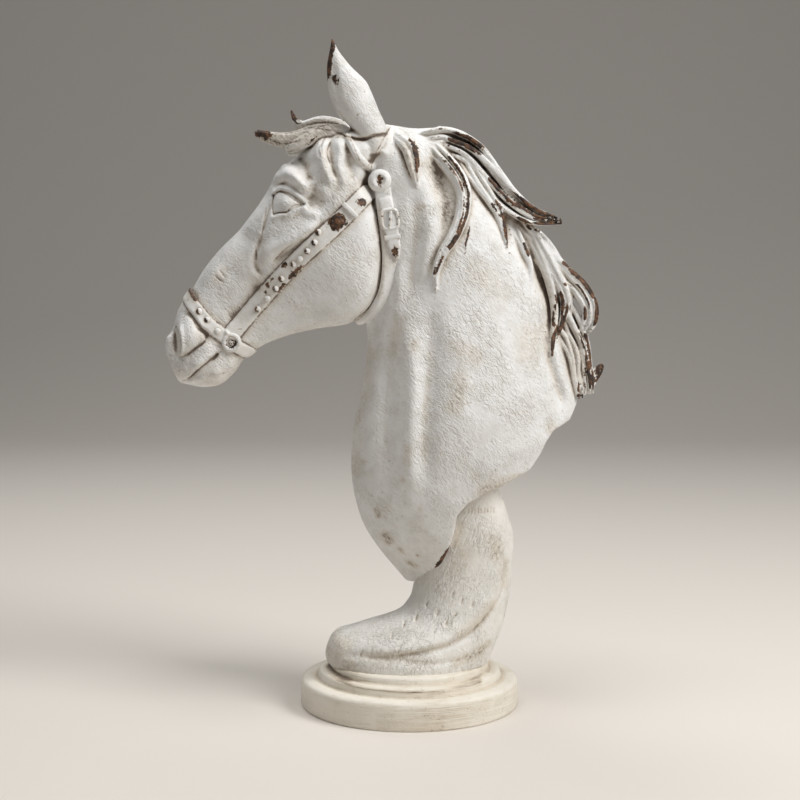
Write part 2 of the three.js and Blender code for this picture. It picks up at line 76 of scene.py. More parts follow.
# Neck sections in percent of NECK_HEIGHT: height, front edge, back edge, half width
NECK_SECTIONS = [
    (0.3, -0.7, 19.9, 2.6), (3.0, -3.0, 23.8, 5.6), (7.0, -6.3, 28.1, 8.3),
    (12.3, -9.8, 31.5, 10.6), (18.9, -12.1, 34.8, 12.6), (26.8, -13.0, 36.8, 13.9),
    (35.4, -12.3, 37.4, 14.4), (46.0, -10.1, 36.6, 13.6), (53.6, -9.3, 34.8, 12.6),
    (59.3, -9.6, 33.1, 11.6), (66.9, -9.4, 30.8, 10.4), (75.2, -9.4, 27.6, 9.6),
    (83.4, -10.4, 22.8, 9.0), (90.1, -12, 18.5, 8.0), (95.7, -14, 13.6, 6.6),
    (99.4, -14, 9.4, 4.2), (101.6, -9, 5.0, 1.6),
]

# The bust's lower edge, where the sculptor cut it off, in percent of NECK_HEIGHT: x, height
RIM = [
    (1.7, -1.0), (4.6, 1.3), (6.6, 4.3), (8.3, 8.3), (9.6, 12.6), (10.3, 16.9), (12.6, 19.5),
    (15.9, 21.5), (19.2, 22.8), (22.5, 24.5), (26.2, 26.5), (28.5, 29.8), (29.8, 32.5),
    (31.5, 34.8), (35.4, 36.8), (37.4, 40.4),
]

# Head sections in percent of HEAD_LENGTH: distance from the poll, face line, jaw line, half width
HEAD_SECTIONS = [
    (-3, 6, 0, 9), (5, 13, -1, 12.5), (12, 16.5, -5, 14), (20, 18.7, -17.5, 15),
    (30, 19.3, -26, 15.5), (37, 18.3, -30, 15.5), (48, 17.3, -29.4, 13.2), (58, 18.3, -21.6, 11),
    (65, 18.3, -16.5, 9.8), (74, 17.2, -11.7, 9.2), (81, 16.6, -10, 9.9), (87, 14.4, -10.4, 10.5),
    (93, 12, -8.7, 9.4), (96.5, 8.2, -5, 7), (99.5, 2, 0.5, 2.6),
]

# Ear slices in percent of HEAD_LENGTH from the poll: height, front, back, half thickness
EAR_SECTIONS = [
    (-2.5, -5.0, 3.0, 5.4), (4.4, -8.3, 2.7, 5.8), (11.7, -14.2, -0.4, 5.8),
    (16.5, -15.8, -2.4, 5.1), (19.7, -16.2, -4.0, 4.5), (24.3, -16.4, -8.7, 3.3),
    (30.1, -15.3, -13.2, 1.4), (32.9, -14.8, -14.5, 0.4),
]

# Stand slices: height in percent of STAND_HEIGHT, then left, right and half depth in percent
# of TOP_STEP_RADIUS
STAND_SECTIONS = [
    (-4, -96, 96, 85), (0, -104, 100, 85), (8, -102, 108, 81), (13, -91, 113, 76),
    (17, -67, 117, 69), (20, -41, 119, 63), (24, -17, 121, 57), (30, -2, 124, 54),
    (40, 6, 127, 50), (52, 13, 130, 48), (63, 22, 130, 46), (74, 37, 123, 44),
    (86, 56, 112, 41), (100, 74, 96, 28),
]

# How the sections round off towards their two edges: power and root, and the widest place
NECK_FRONT_FORM = (2, 0.58)
NECK_CREST_FORM = (1.7, 0.7)
NECK_WIDEST = 0.42
HEAD_JAW_FORM = (6, 0.3)
HEAD_FACE_FORM = (2.6, 0.5)
HEAD_WIDEST = 0.62

SCALE = OVERALL_HEIGHT / 442.86  # to the size at which the places below were measured
HEAD_VOXEL, NECK_VOXEL, STAND_VOXEL = 0.7 * SCALE, 0.8 * SCALE, 0.8 * SCALE
MOST_TRIANGLES = 190000  # in one piece

# Mane locks of the photographed side: width, lift, free, then x and height along it, all in
# percent of NECK_HEIGHT; free is the least distance from the mid-plane, or a fixed one below 0.
# A fifth value is how thick a blunt tip stays, as a share of the lock.
NEAR_LOCKS = [
    (2.8, 0.3, 0, [(-3.3, 99), (-0.3, 96), (1.0, 91.4), (1.7, 87.1)]),
    (3.4, 0.5, 0, [(5.6, 95.4), (8.9, 91.7), (11.3, 87.1), (11.3, 82.5), (9.6, 77.5), (7.0, 73.2),
                   (5.6, 68.9), (5.6, 64.9)]),
    (1.4, 0, 0, [(12.9, 81.8), (12.6, 78.1), (11.9, 74.5), (11.3, 71.5)]),
    (3.0, 0.2, 0, [(10.5, 96), (14.6, 89.1), (17.2, 85.4), (19.2, 82.1), (20.5, 78.1), (21.2, 74.2)]),
    (7.8, 0, 3, [(6.6, 97), (11.9, 95.0), (17.5, 89.6), (21.9, 84.9), (26.0, 82.0), (33.8, 80.2)], 0.1),
    (4.4, 0, 0, [(3.0, 98.4), (7.5, 99.2), (11.6, 97.8), (15.4, 94.0), (19.0, 89.4), (22.6, 84.6)]),
    (1.8, 0.2, 0, [(22.8, 79.0), (24.8, 74.5), (26.2, 70.9), (26.5, 66.0)]),
    (2.4, 0.5, 2.2, [(26.0, 80.0), (29.0, 74.6), (31.8, 69.2), (34.2, 63.8), (33.6, 58.6), (32.2, 54.3)]),
    (2.0, 0.2, 2.2, [(26.0, 78.0), (30.4, 68.0), (31.8, 61.3), (31.5, 55.6), (31.0, 50.7)]),
    (3.9, 0, 0.8, [(22.0, 81.6), (26.4, 76.8), (30.6, 72.6), (34.4, 68.8), (37.8, 65.4), (39.7, 61.6),
                   (39.6, 58.2), (37.9, 55.2)], 0.8),
    (5.6, 0, 0, [(27.4, 76.0), (31.4, 70.4), (34.2, 64.6), (35.2, 58.0)]),
    (5.4, 0, 0, [(32.4, 63.0), (35.4, 57.6), (37.4, 53.0), (38.4, 48.0), (39.0, 43.6), (39.2, 41.0)], 0.7),
    (3.2, 0, -1.5, [(37.6, 43.0), (39.6, 44.4), (41.2, 46.2), (43.2, 49.2)], 0.2),
    (3.0, 0, 1.5, [(33.6, 56.6), (36.0, 50.6), (36.6, 45.8), (37.6, 41.0)]),
]
# Path of a lock of the far side from its root on the crest, in percent of NECK_HEIGHT: height, x
FAR_LOCK_FALL = [(0, -1.5), (-5.5, -5.0), (-12, -9.2), (-18.5, -10.2), (-25, -14.5)]

# Ridges and furrows of the neck in millimetres: x and height along them, width, height
NECK_LINES = [
    ([(-3, 262), (0.3, 234), (1.5, 215), (1.6, 188), (0.6, 165), (1.0, 146)], 6.5, 3.0),
    ([(-9, 262), (-11, 244), (-13.3, 219), (-15, 194), (-14, 165)], 5, -1.8),
    ([(12, 276), (14, 250), (13, 226), (10, 200), (9, 175), (10, 156)], 7, -2.8),
    ([(-24, 240), (-27, 210), (-28, 180), (-25, 145)], 8, 1.6),
    ([(2, 345), (4, 320), (2, 295), (2, 272)], 5, -2.0),
    ([(14, 330), (11, 305), (9, 285)], 5, 1.8),
    ([(-8, 300), (-7, 280), (-10, 262)], 4, 1.5),
    ([(84, 268), (90, 240), (97, 218), (104, 200)], 4, -2.4),
    ([(92, 262), (98, 232), (106, 206)], 4, 1.6),
    ([(44, 160), (60, 172), (80, 180), (96, 188)], 8, 1.6),
    ([(30, 262), (33, 240), (33, 215), (30, 190)], 8, 1.2),
]

# Where the surface sinks behind the locks, in millimetres: x, height, half widths, depth, angle
MANE_HOLLOWS = [
    (-3, 368, 4, 13, 2.2, 20), (18.5, 353, 6.5, 18, 5.0, 15), (22, 328, 4, 12, 2.2, -10),
    (12, 295, 3, 12, 1.6, -15), (50, 340, 5, 14, 2.2, 35), (63, 318, 3, 12, 2.0, 5),
    (88, 288, 5, 16, 4.0, 20), (93, 258, 4, 16, 3.0, 0), (74, 305, 4, 10, 1.8, 20),
]

# Forelock, from the poll, in percent of HEAD_LENGTH: width, and places along, beside and above
FORELOCK = [
    (7.0, [(-8, 2, 3.0), (-20, 3, 3.8), (-28, 3.5, 2.0), (-35.5, 3.5, 2.8), (-41, 3, 5.0)]),
    (6.0, [(-10, -1, 5.0), (-19, -2, 7.2), (-26, -3, 6.6), (-28.8, -3.5, 12.2)]),
    (6.0, [(-8, 6, 4.0), (-18, 7.5, 3.6), (-25, 8, 0.6), (-31, 7, -2.0)]),
    (6.0, [(-8, -6, 4.0), (-18, -8, 3.6), (-25, -9, 0), (-32, -8.5, -2.0)]),
]

# Soft ridges and furrows of the face in millimetres: x and height along them, width, height
FACE_LINES = [
    ([(-90, 350), (-84, 356.5), (-76, 356), (-69, 349), (-66, 340)], 4.5, 3.6),
    ([(-85, 349.5), (-79, 351), (-73, 347.5)], 1.3, -0.5),
    ([(-74, 369), (-68, 360), (-64.5, 350)], 4.4, -2.8),
    ([(-80, 364), (-75, 362), (-71, 357)], 1.8, -1.2),
    ([(-54, 382), (-58, 374), (-56, 363), (-52, 353), (-49, 345)], 3.8, 3.9),
    ([(-46.5, 379), (-44.5, 371), (-46, 362), (-43, 351), (-44, 345)], 3.2, 2.9),
    ([(-51, 379), (-51.5, 370), (-50, 361), (-47.5, 353)], 1.9, -1.3),
    ([(-56.5, 378), (-59, 372), (-58, 366)], 1.1, -1.5),
    ([(-43, 377), (-41, 368), (-37.5, 357), (-36, 350)], 3.2, -1.7),
    ([(-90.5, 338), (-93.4, 327), (-95.8, 318)], 1.2, -1.6),
    ([(-95.8, 318), (-98.5, 310), (-100.6, 302), (-100, 296), (-96, 290)], 2.4, -2.2),
    ([(-97, 299), (-91, 306), (-81, 311), (-69, 317), (-58, 326)], 5.0, 3.4),
    ([(-90, 298), (-78, 307), (-65, 316), (-55, 326)], 1.8, -1.4),
    ([(-86, 303), (-76, 311), (-68, 315)], 1.1, -0.9),
    ([(-70, 336), (-65, 331), (-58, 329)], 3.0, 1.8),
    ([(-102, 320), (-111, 306), (-124, 290)], 7.0, -1.8),
    ([(-97, 334), (-113, 315), (-128, 297), (-139, 284)], 4.5, 1.4),
    ([(-149, 263), (-146.5, 265.6), (-142.3, 263.4), (-138.4, 256.5), (-133.3, 251.6),
      (-134, 248)], 1.7, -1.6),
    ([(-134, 248), (-139.5, 244), (-145.2, 239.4), (-154, 236)], 1.7, -1.7),
    ([(-151.5, 259), (-149.8, 250), (-150.2, 241), (-152.5, 236.5)], 1.8, 2.6),
    ([(-160.5, 252), (-162, 244), (-160, 236)], 1.6, 1.2),
    ([(-151, 220.5), (-146.7, 222.4), (-140.4, 227.8), (-132.5, 234.2), (-124, 241)], 1.1, -1.7),
    ([(-126, 240), (-128.5, 236), (-131, 235)], 1.2, -1.4),
    ([(-144, 218.5), (-136, 221), (-128, 223), (-120, 228)], 1.5, -1.2),
    ([(-110, 248), (-90, 258), (-70, 264), (-52, 268)], 6.0, -1.8),
    ([(-122, 262), (-108, 274), (-98, 288)], 7.0, -2.2),
    ([(-141, 270), (-132, 259)], 4.0, -1.2),
]

# Soft swellings and hollows of the face in millimetres: x, height, half widths, rise, angle
FACE_BUMPS = [
    (-75, 352, 7, 5, 3.0, -30), (-62, 342, 8, 8.5, -3.0, 0), (-55.8, 344.5, 4.4, 4.4, 4.0, 0),
    (-66, 363, 5, 4, -1.6, 30), (-144, 252, 8, 9.5, 4.2, -24), (-154.6, 246.0, 3.6, 9.5, -6.0, 5),
    (-150, 228, 6, 6, 2.0, 30), (-137, 221.5, 5, 2.4, 2.0, 10), (-127, 226.0, 4.5, 3.2, 2.0, 36),
    (-118, 232, 4, 3, 1.2, 50), (-139, 234, 6, 3.4, 1.6, 40), (-133, 243, 5, 3, 1.2, 40),
    (-30, 372, 6, 5, 2.4, 30), (-84, 363, 5, 3, 1.4, -40), (-47, 338, 8, 4, 1.6, 40),
    (-30, 350, 4, 6, -2.0, 20),
]

# Furrows on and below the ears, written as the ridges and furrows of the face are
EAR_LINES = [
    ([(-44, 381.5), (-36, 379), (-30, 378.3), (-24, 380), (-14, 382)], 0.9, -2.0),
    ([(-41, 392), (-46, 404), (-48, 418), (-49.5, 432)], 2.2, -0.8),
    ([(-14.5, 376), (-21, 367.5), (-28, 359)], 1.2, -1.4),
]

# Straps in millimetres: x and height along them
CHEEK_STRAP = [(-27, 344.5), (-45, 326), (-76, 297.5), (-100, 272), (-115.5, 254)]
NOSEBAND = [(-153, 285), (-147, 276.5), (-139.6, 267.4), (-131.6, 258.2), (-122.4, 250.8), (-114, 244),
            (-106.5, 239.5)]
POLL_STRAP = [(-7, 386), (-13, 374), (-19, 361), (-20, 354)]
THROAT_LINE = [(-15.2, 327.3), (-13.6, 312), (-12.2, 298), (-14.4, 281), (-19, 270), (-25, 262.6), (-31, 258)]
# The throat strap in millimetres: x, height and how far out it lies, then its facing as x, z, y
THROAT_STRAP = [
    (-17.5, 347, 20.5, 0, 0, 1), (-15.8, 333, 21.6, 0, 0, 1), (-14.0, 318, 21.9, 0, 0, 1),
    (-12.5, 303, 21.8, 0.1, 0, 1), (-13.2, 289, 21.3, 0.2, -0.1, 1), (-16.0, 277.6, 19.8, 0.4, -0.3, 0.9),
    (-21.0, 268.8, 16.4, 0.5, -0.6, 0.7), (-27.6, 262.6, 9.8, 0.45, -0.8, 0.35),
    (-31.0, 261.2, 0, 0.4, -0.9, 0),
]
THROAT_STRAP_DEPTH = 5.6  # the throat strap's thickness in millimetres

# Fine dark lines scored into the face in millimetres: x and height along them
FACE_CREASES = [
    [(-89.4, 331.2), (-89.1, 338.1), (-87.8, 343.4), (-85.5, 344.8), (-80.9, 343.4), (-76.3, 340.4),
     (-70.9, 336.9)],
    [(-70.9, 336.6), (-76.3, 335.3), (-79.4, 332.0), (-84.8, 331.2), (-89.4, 330.7)],
    [(-154.6, 256.1), (-151.1, 251.6), (-150.4, 243.8), (-151.3, 237)],
    [(-149.8, 261.1), (-147.5, 264.6), (-143.2, 262.3), (-139, 255.2), (-134.1, 251.7), (-134.8, 247.1),
     (-140, 243.2), (-146.2, 238.5)],
    [(-151, 220.5), (-146.7, 222.4), (-140.4, 227.8), (-132.5, 234.2), (-124, 241)],
    [(-127, 240.6), (-129, 237), (-131.5, 235.6)],
    [(-61.8, 385.6), (-49.5, 384), (-40.2, 380.2), (-32.5, 378.7), (-24.7, 381), (-14.7, 382.5)],
    [(-15.5, 376.3), (-23.2, 366.3), (-28.6, 359.4)],
    [(-93.5, 334.8), (-95.2, 325), (-96.9, 315)],
    [(-54.9, 380.2), (-57.2, 374), (-56.6, 369)], [(-51, 377.9), (-53.6, 370.2), (-51.8, 363)],
    [(-38.6, 378.5), (-34.6, 369.6), (-30.4, 362), (-27, 360.2)],
    [(-95.8, 381.2), (-83.4, 376.4), (-71, 377.9)], [(-89.6, 374.8), (-80, 371.5), (-72, 372.8)],
    [(-71, 388.7), (-55.6, 391), (-43.3, 388.7)], [(-74, 372), (-68, 375), (-63, 378)],
    [(-76, 311.4), (-83, 306), (-88.5, 300)],
    [(-100.6, 307), (-99.8, 301)], [(-125, 293.5), (-121, 289)], [(-128, 290), (-122.5, 286)],
]

# Worn streaks in millimetres: x and height along them, radius and strength of the wear
FACE_WEAR = [
    ([(-50.5, 443), (-52, 431), (-53.5, 419)], 2.6, 1.0), ([(-48.2, 418), (-47.4, 415)], 2.4, 1.0),
    ([(-33, 394)], 1.8, 0.9), ([(-106, 386), (-99, 384.5), (-94, 382)], 3.2, 1.0),
    ([(-79, 402), (-76.5, 396), (-74, 393)], 2.4, 1.0), ([(-66, 376), (-60, 381)], 1.2, 0.7),
    ([(-36, 335.5), (-33.5, 338), (-31, 338)], 2.8, 1.0), ([(-49, 323), (-44.5, 327)], 4.2, 1.25),
    ([(-81, 297), (-78, 295)], 2.6, 0.95), ([(-77, 290), (-71, 295)], 2.6, 1.0),
    ([(-92, 284), (-87, 289)], 2.2, 0.95), ([(-86, 281), (-82, 284)], 2.0, 0.9),
    ([(-97, 277), (-94, 280)], 1.6, 0.8),
    ([(-146, 281), (-141, 275)], 1.6, 0.8), ([(-155, 256)], 1.6, 0.9), ([(-62, 268)], 1.6, 0.6),
    ([(-51, 380), (-42, 380)], 1.0, 0.6),
]

# Worn streaks of the mane, the neck and the bust's edge, written as those of the face are
MANE_WEAR = [
    ([(1, 379), (6, 371), (7, 362)], 2.0, 0.84), ([(2, 372), (4, 358)], 1.2, 0.67),
    ([(25, 366), (32.7, 355.4), (36.8, 343.7), (36.4, 331.9), (31.6, 317.2), (26, 309)], 1.7, 0.84),
    ([(21, 303), (16, 292)], 1.0, 0.59), ([(38, 322), (36, 310), (35, 302)], 1.6, 0.71),
    ([(56, 337), (62.7, 327), (65, 316)], 2.6, 0.84), ([(65.5, 312), (65, 303)], 1.6, 0.76),
    ([(29, 380), (37, 377.5), (45, 373)], 3.2, 0.84), ([(22, 379), (25, 376)], 1.2, 0.67),
    ([(53, 353), (60.5, 345.5), (70, 339)], 1.9, 0.76), ([(66, 341), (76, 335), (84, 331)], 3.4, 0.84),
    ([(72, 327), (80, 322), (86, 321)], 1.7, 0.76), ([(84, 328), (92, 327), (101, 326)], 3.4, 0.84),
    ([(75, 311), (78, 304)], 1.2, 0.59), ([(103, 299), (106, 297)], 2.0, 0.76),
    ([(109, 294), (117, 287), (123, 278)], 3.4, 0.8), ([(124, 278), (126.5, 270), (124, 260)], 2.4, 0.76),
    ([(104, 285), (112, 283), (118, 272), (117, 262)], 1.6, 0.71),
    ([(99, 277), (102.5, 268), (102, 259), (97, 250)], 2.6, 0.84), ([(95, 248), (94, 238)], 2.2, 0.76),
    ([(96, 270), (95, 258)], 1.2, 0.59), ([(116, 250), (119, 238)], 2.2, 0.8),
    ([(119, 236), (118, 224), (114.5, 216)], 3.0, 0.84), ([(113, 208), (116, 207)], 2.8, 0.84),
    ([(124, 221), (130, 231)], 5.0, 1.2), ([(28, 112), (22, 104), (17, 96)], 1.8, 0.84),
    ([(8, 336), (6, 333)], 2.0, 0.5),
]

# Studs of the cheek strap and the noseband in millimetres: x and height
STUDS = [(-59, 318.5), (-61.5, 312), (-66.3, 306.5), (-71, 301.5), (-75.5, 298), (-83.5, 288.5), (-87.5, 282),
         (-93, 275.5), (-99.5, 268.5), (-138.2, 267), (-133, 261.5), (-126, 254)]

# Brown stains of the neck in millimetres: x and height along them, radius and strength; the row from (14,
# 362) to (25, 328) is brown glaze and painted shade in the hollow to the left of the long S-shaped lock
NECK_STAIN_AND_SHADE = [
    ([(78, 252), (77, 240)], 8, 0.5), ([(33, 226), (29, 205)], 5, 0.6), ([(28, 245), (43, 238)], 5, 0.5),
    ([(2, 245)], 5, 0.5), ([(-16, 118), (-14, 114)], 3.2, 1.1), ([(48, 150), (60, 155), (72, 157)], 4, 0.9),
    ([(46, 292), (58, 280)], 8, 0.4), ([(93, 190)], 4, 0.6), ([(7, 335)], 3, 0.8),
    ([(-26, 235), (-36, 200), (-38, 165)], 7, 0.35), ([(-6, 262), (-12, 240)], 5, 0.4),
    ([(86, 290), (94, 268), (93, 250)], 5, 0.6), ([(108, 250), (112, 225)], 7, 0.5),
    # The second row here is brown glaze and painted shade in the hollow left of the long S-shaped lock
    ([(-2, 374), (3, 356)], 3, 0.8), ([(14, 362), (22, 340), (25, 328)], 5, 0.75),
    ([(-2, 180), (-2, 170)], 3, 0.5), ([(-22, 135), (-21, 132)], 1.8, 1.1), ([(-5, 158)], 2, 0.9),
    ([(-30, 168)], 2, 0.8), ([(-7, 109), (-5, 107)], 1.6, 1.2), ([(0, 99), (4, 97)], 2, 1.0),
    ([(5, 105)], 1.5, 1.1), ([(7, 139)], 1.6, 0.9),
]

# Brown stains of the face, written as those of the neck are; the first two rows are painted shade, with some
# brown glaze, in the hollows of the temple, and the sixth is painted shade in the nostril
FACE_STAIN_AND_SHADE = [
    # These two rows are painted shade, with some brown glaze, in the hollows of the temple
    ([(-63, 347), (-61, 339)], 6, 0.15), ([(-71, 366), (-68, 356)], 5, 0.35),
    ([(-148, 284), (-141, 276)], 3, 0.9), ([(-130, 222), (-118, 230)], 7, 0.35),
    # The second row here is painted shade in the nostril
    ([(-142, 226), (-128, 236)], 4, 0.3), ([(-155, 250), (-155, 240)], 3, 0.3),
    ([(-122, 293), (-126, 287)], 4, 0.5), ([(-104, 384), (-88, 380), (-70, 384), (-52, 388)], 8, 0.9),
    ([(-46, 381), (-32, 378), (-16, 382)], 1.6, 0.9), ([(-10, 300)], 4, 0.5),
    ([(-97, 312), (-100, 298)], 5, 0.3),
    ([(-20, 333), (-16, 300), (-20, 278)], 2.2, 0.6), ([(-110, 300), (-100, 285)], 6, 0.3),
    ([(-138, 252), (-134, 249)], 3, 0.5), ([(-55, 372), (-54, 362)], 2, 0.4),
]

# Brown streaks of the plinth, written as the stains of the neck are
PLINTH_STAIN = [
    ([(-62, 27), (-30, 23), (10, 22), (46, 24)], 1.6, 0.9), ([(-20, 4), (20, 3)], 2.5, 0.6),
    ([(20, 12), (50, 14)], 3, 0.4), ([(60, 10)], 5, 0.5), ([(-70, 8)], 4, 0.4),
    ([(0, 10), (24, 10.5)], 1.8, 0.9), ([(-48, 12), (-20, 9)], 2.5, 0.6), ([(-50, 32), (-36, 30)], 2.5, 0.5),
    ([(26, 28), (48, 30)], 2, 0.35),
]
# The row of shallow strokes on the stand's shoulder, and cracks below it, in millimetres
STAND_CREASES = [
    [(38.6 + 2.15 * number, 134.2 - 0.5 * (number % 3)), (39.0 + 2.1 * number, 136.2 + 0.6 * (number % 2))]
    for number in range(9)
] + [
    [(18, 66), (19.2, 68.6)], [(24, 60), (24.8, 63)], [(30, 66), (31, 68)], [(11, 71), (12.2, 73.4)],
    [(34, 74), (35.2, 77)], [(4, 62), (5, 64.2)], [(41, 72), (42, 75)], [(-4, 58), (-3.2, 60)],
    [(28, 78), (29, 80.6)], [(-12, 52), (-11.4, 54)], [(16, 56), (17, 58)], [(-32.6, 40.4), (-31.4, 43)],
]

# Brown stains of the stand, written as those of the neck are
STAND_STAIN = [
    ([(-48, 46), (-42, 45)], 3.5, 0.7), ([(-54, 38), (-40, 34)], 4.5, 0.6), ([(36, 106), (30, 96)], 7, 0.5),
    ([(56, 116), (58, 104)], 4, 0.6), ([(54, 72), (46, 62), (34, 56)], 4, 0.5),
    ([(0, 42), (-30, 40)], 4, 0.4), ([(30, 36), (44, 40), (52, 45)], 2.5, 0.8),
    ([(34, 126), (30, 112)], 3, 0.6), ([(62, 100), (64, 84)], 4, 0.4),
]


def spot(*numbers):
    """Lengths in millimetres, brought to the frame's size."""
    return np.array(numbers, float) * SCALE


def spots(*places):
    """Places of x and height in millimetres, brought to the frame's size."""
    return np.array(places, float) * SCALE


along_face = np.array([-math.cos(FACE_PITCH), 0, -math.sin(FACE_PITCH)])
across_face = np.array([-math.sin(FACE_PITCH), 0, math.cos(FACE_PITCH)])


def on_neck(x, y, height):
    """A place in millimetres from percent of NECK_HEIGHT."""
    return np.array([x, y, height]) * NECK_HEIGHT / 100 + (0, 0, BUST_BASE)


poll = on_neck(-6.6, 0, 96.7)


def on_head(along, across, side=0.0):
    """A place in millimetres from percent of HEAD_LENGTH along and across the face."""
    share = HEAD_LENGTH / 100
    return poll + along_face * along * share + across_face * across * share + (0, side * share, 0)


def beside_poll(x, y, height):
    """A place in millimetres from percent of HEAD_LENGTH away from the poll."""
    return poll + np.array([x, y, height]) * HEAD_LENGTH / 100


def on_stand(x, y, height):
    """A place in millimetres from percent of TOP_STEP_RADIUS and, upwards, of STAND_HEIGHT."""
    share = TOP_STEP_RADIUS / 100
    return np.array([x * share, y * share, PLINTH_HEIGHT + height * STAND_HEIGHT / 100])


def smooth_rows(rows, places):
    """Smooth values of a table's columns at places on its first column."""
    table = np.array(rows, float)
    keys, values = table[:, 0], table[:, 1:]
    steps = np.diff(keys)
    slopes = np.diff(values, axis=0) / steps[:, None]
    tangents = np.vstack([slopes[:1], (slopes[1:] * steps[:-1, None] + slopes[:-1] * steps[1:, None])
                          / (steps[1:] + steps[:-1])[:, None], slopes[-1:]])
    places = np.clip(places, keys[0], keys[-1])
    row = np.clip(np.searchsorted(keys, places, side="right") - 1, 0, len(keys) - 2)
    width = steps[row]
    t = ((places - keys[row]) / width)[..., None]
    width = width[..., None]
    return ((2 * t ** 3 - 3 * t ** 2 + 1) * values[row] + (t ** 3 - 2 * t ** 2 + t) * width * tangents[row]
            + (3 * t ** 2 - 2 * t ** 3) * values[row + 1] + (t ** 3 - t ** 2) * width * tangents[row + 1])


def smooth_line(points, count):
    """Evenly spaced places on a smooth curve through the points."""
    points = np.array(points, float)
    reach = np.concatenate([[0], np.cumsum(np.linalg.norm(np.diff(points, axis=0), axis=1))])
    rows = np.column_stack([reach, points])
    fine = smooth_rows(rows, np.linspace(0, reach[-1], count * 4))
    length = np.concatenate([[0], np.cumsum(np.linalg.norm(np.diff(fine, axis=0), axis=1))])
    even = np.linspace(0, length[-1], count)
    return np.column_stack([np.interp(even, length, fine[:, axis]) for axis in range(points.shape[1])])


def section_width(share, lower, upper):
    """Half width of a section at shares from -1 at its lower edge to 1 at its upper edge."""
    size = np.minimum(np.abs(share), 1)
    return np.where(share < 0, (1 - size ** lower[0]) ** lower[1], (1 - size ** upper[0]) ** upper[1])


def neck_side(x, height):
    """Half width of the neck, in percent of NECK_HEIGHT."""
    front, back, half = np.moveaxis(smooth_rows(NECK_SECTIONS, np.asarray(height, float)), -1, 0)
    middle = front + (back - front) * NECK_WIDEST
    share = np.where(x < middle, (x - middle) / (middle - front), (x - middle) / (back - middle))
    return half * section_width(share, NECK_FRONT_FORM, NECK_CREST_FORM)


def section_ring(sides, low, high, widest, half, forms):
    """Places round a section's outline: along its profile, and to its side."""
    angle = np.arange(sides) / sides * 2 * math.pi
    share = -np.cos(angle)
    middle = low + (high - low) * widest
    width = half * section_width(share, *forms) * np.sign(np.sin(angle).round(9))
    return middle + np.where(share < 0, middle - low, high - middle) * share, width


BAND = 7.0  # millimetres to either side of a surface in which its distance is known
EVERY_Y = 1e3  # millimetres to either side that reach past every voxel
RELIEF_FADE = 6  # millimetres across the mid-plane over which a relief of one side fades in
MIDDLE_SHARE = 0.2  # share of such a relief at the mid-plane
OUT_OF_REACH = 9.0  # millimetres from a strap or scored line at which it no longer counts


class Clay:
    """A block of voxels that holds the distance in millimetres to the modelled surface."""

    def __init__(self, low, high, voxel):
        self.voxel = voxel
        self.low = np.floor(np.array(low, float) / voxel).astype(int)
        self.size = np.ceil(np.array(high, float) / voxel).astype(int) - self.low + 1
        self.field = np.full(self.size, BAND, np.float32)

    def axes(self):
        """Coordinates of the voxels along X, Y and Z."""
        return [(self.low[i] + np.arange(self.size[i])) * self.voxel for i in range(3)]

    def block(self, low, high):
        """The slices and the coordinates of the voxels inside a box."""
        start = np.clip(np.floor(np.array(low) / self.voxel).astype(int) - self.low, 0, self.size)
        stop = np.clip(np.ceil(np.array(high) / self.voxel).astype(int) - self.low + 1, 0, self.size)
        cut = tuple(slice(a, b) for a, b in zip(start, stop))
        x, y, z = (axis[part] for axis, part in zip(self.axes(), cut))
        return cut, x[:, None, None], y[None, :, None], z[None, None, :]

    def column(self, low, high):
        """The slices and coordinates of the voxels between two places in the X-Z plane."""
        return self.block((low[0], -EVERY_Y, low[1]), (high[0], EVERY_Y, high[1]))

    def distances(self, points, quads, triangles=()):
        """Distances to a closed mesh, and the slices of the block that they fill."""
        points = np.asarray(points, float)
        grid = openvdb.FloatGrid.createLevelSetFromPolygons(
            (points / self.voxel).astype(np.float32),
            triangles=np.array(triangles, np.int32).reshape(-1, 3).astype(np.uint32),
            quads=np.array(quads, np.uint32), halfWidth=BAND / self.voxel)
        cut, *_ = self.block(points.min(axis=0) - BAND, points.max(axis=0) + BAND)
        start = [part.start for part in cut]
        values = np.empty([part.stop - part.start for part in cut], np.float32)
        grid.copyToArray(values, ijk=tuple(int(a + b) for a, b in zip(start, self.low)))
        return cut, values * self.voxel

    def add(self, mesh, blend=0.0):
        """Joins a closed mesh on, with a soft crease of the given width."""
        cut, new = self.distances(*mesh)
        self.field[cut] = soft_least(self.field[cut], new, blend)

    def cut(self, mesh, blend=0.0):
        """Cuts a closed mesh away, with a softened edge of the given width."""
        cut, new = self.distances(*mesh)
        self.field[cut] = -soft_least(-self.field[cut], new, blend)

    def relief(self, heights, low, high, sides=(-1, 1)):
        """Raises the surface by a map of heights between two places in the X-Z plane.

        It works on the given sides, or with no sides all round.
        """
        cut, _, y, _ = self.column(low, high)
        share = np.zeros_like(y) if sides else np.ones_like(y)
        for side in sides:
            share = np.maximum(share, np.clip(side * y / RELIEF_FADE + MIDDLE_SHARE, 0, 1))
        self.field[cut] -= (heights[:, None, :] * share).astype(np.float32)

    def mesh(self):
        """The surface as points in millimetres and faces of four and three corners."""
        grid = openvdb.FloatGrid(BAND)
        grid.copyFromArray(np.clip(self.field, -BAND, BAND))
        points, quads = grid.convertToQuads(isovalue=0)
        return (points + self.low) * self.voxel, quads

    def sample(self, points):
        """Field values at places inside the block, between voxels."""
        place = np.clip(points / self.voxel - self.low, 0, np.array(self.size) - 1.001)
        base = place.astype(int)
        share = place - base
        total = np.zeros(len(points))
        for corner in np.ndindex(2, 2, 2):
            weight = np.prod(np.where(corner, share, 1 - share), axis=1)
            total += weight * self.field[tuple((base + corner).T)]
        return total


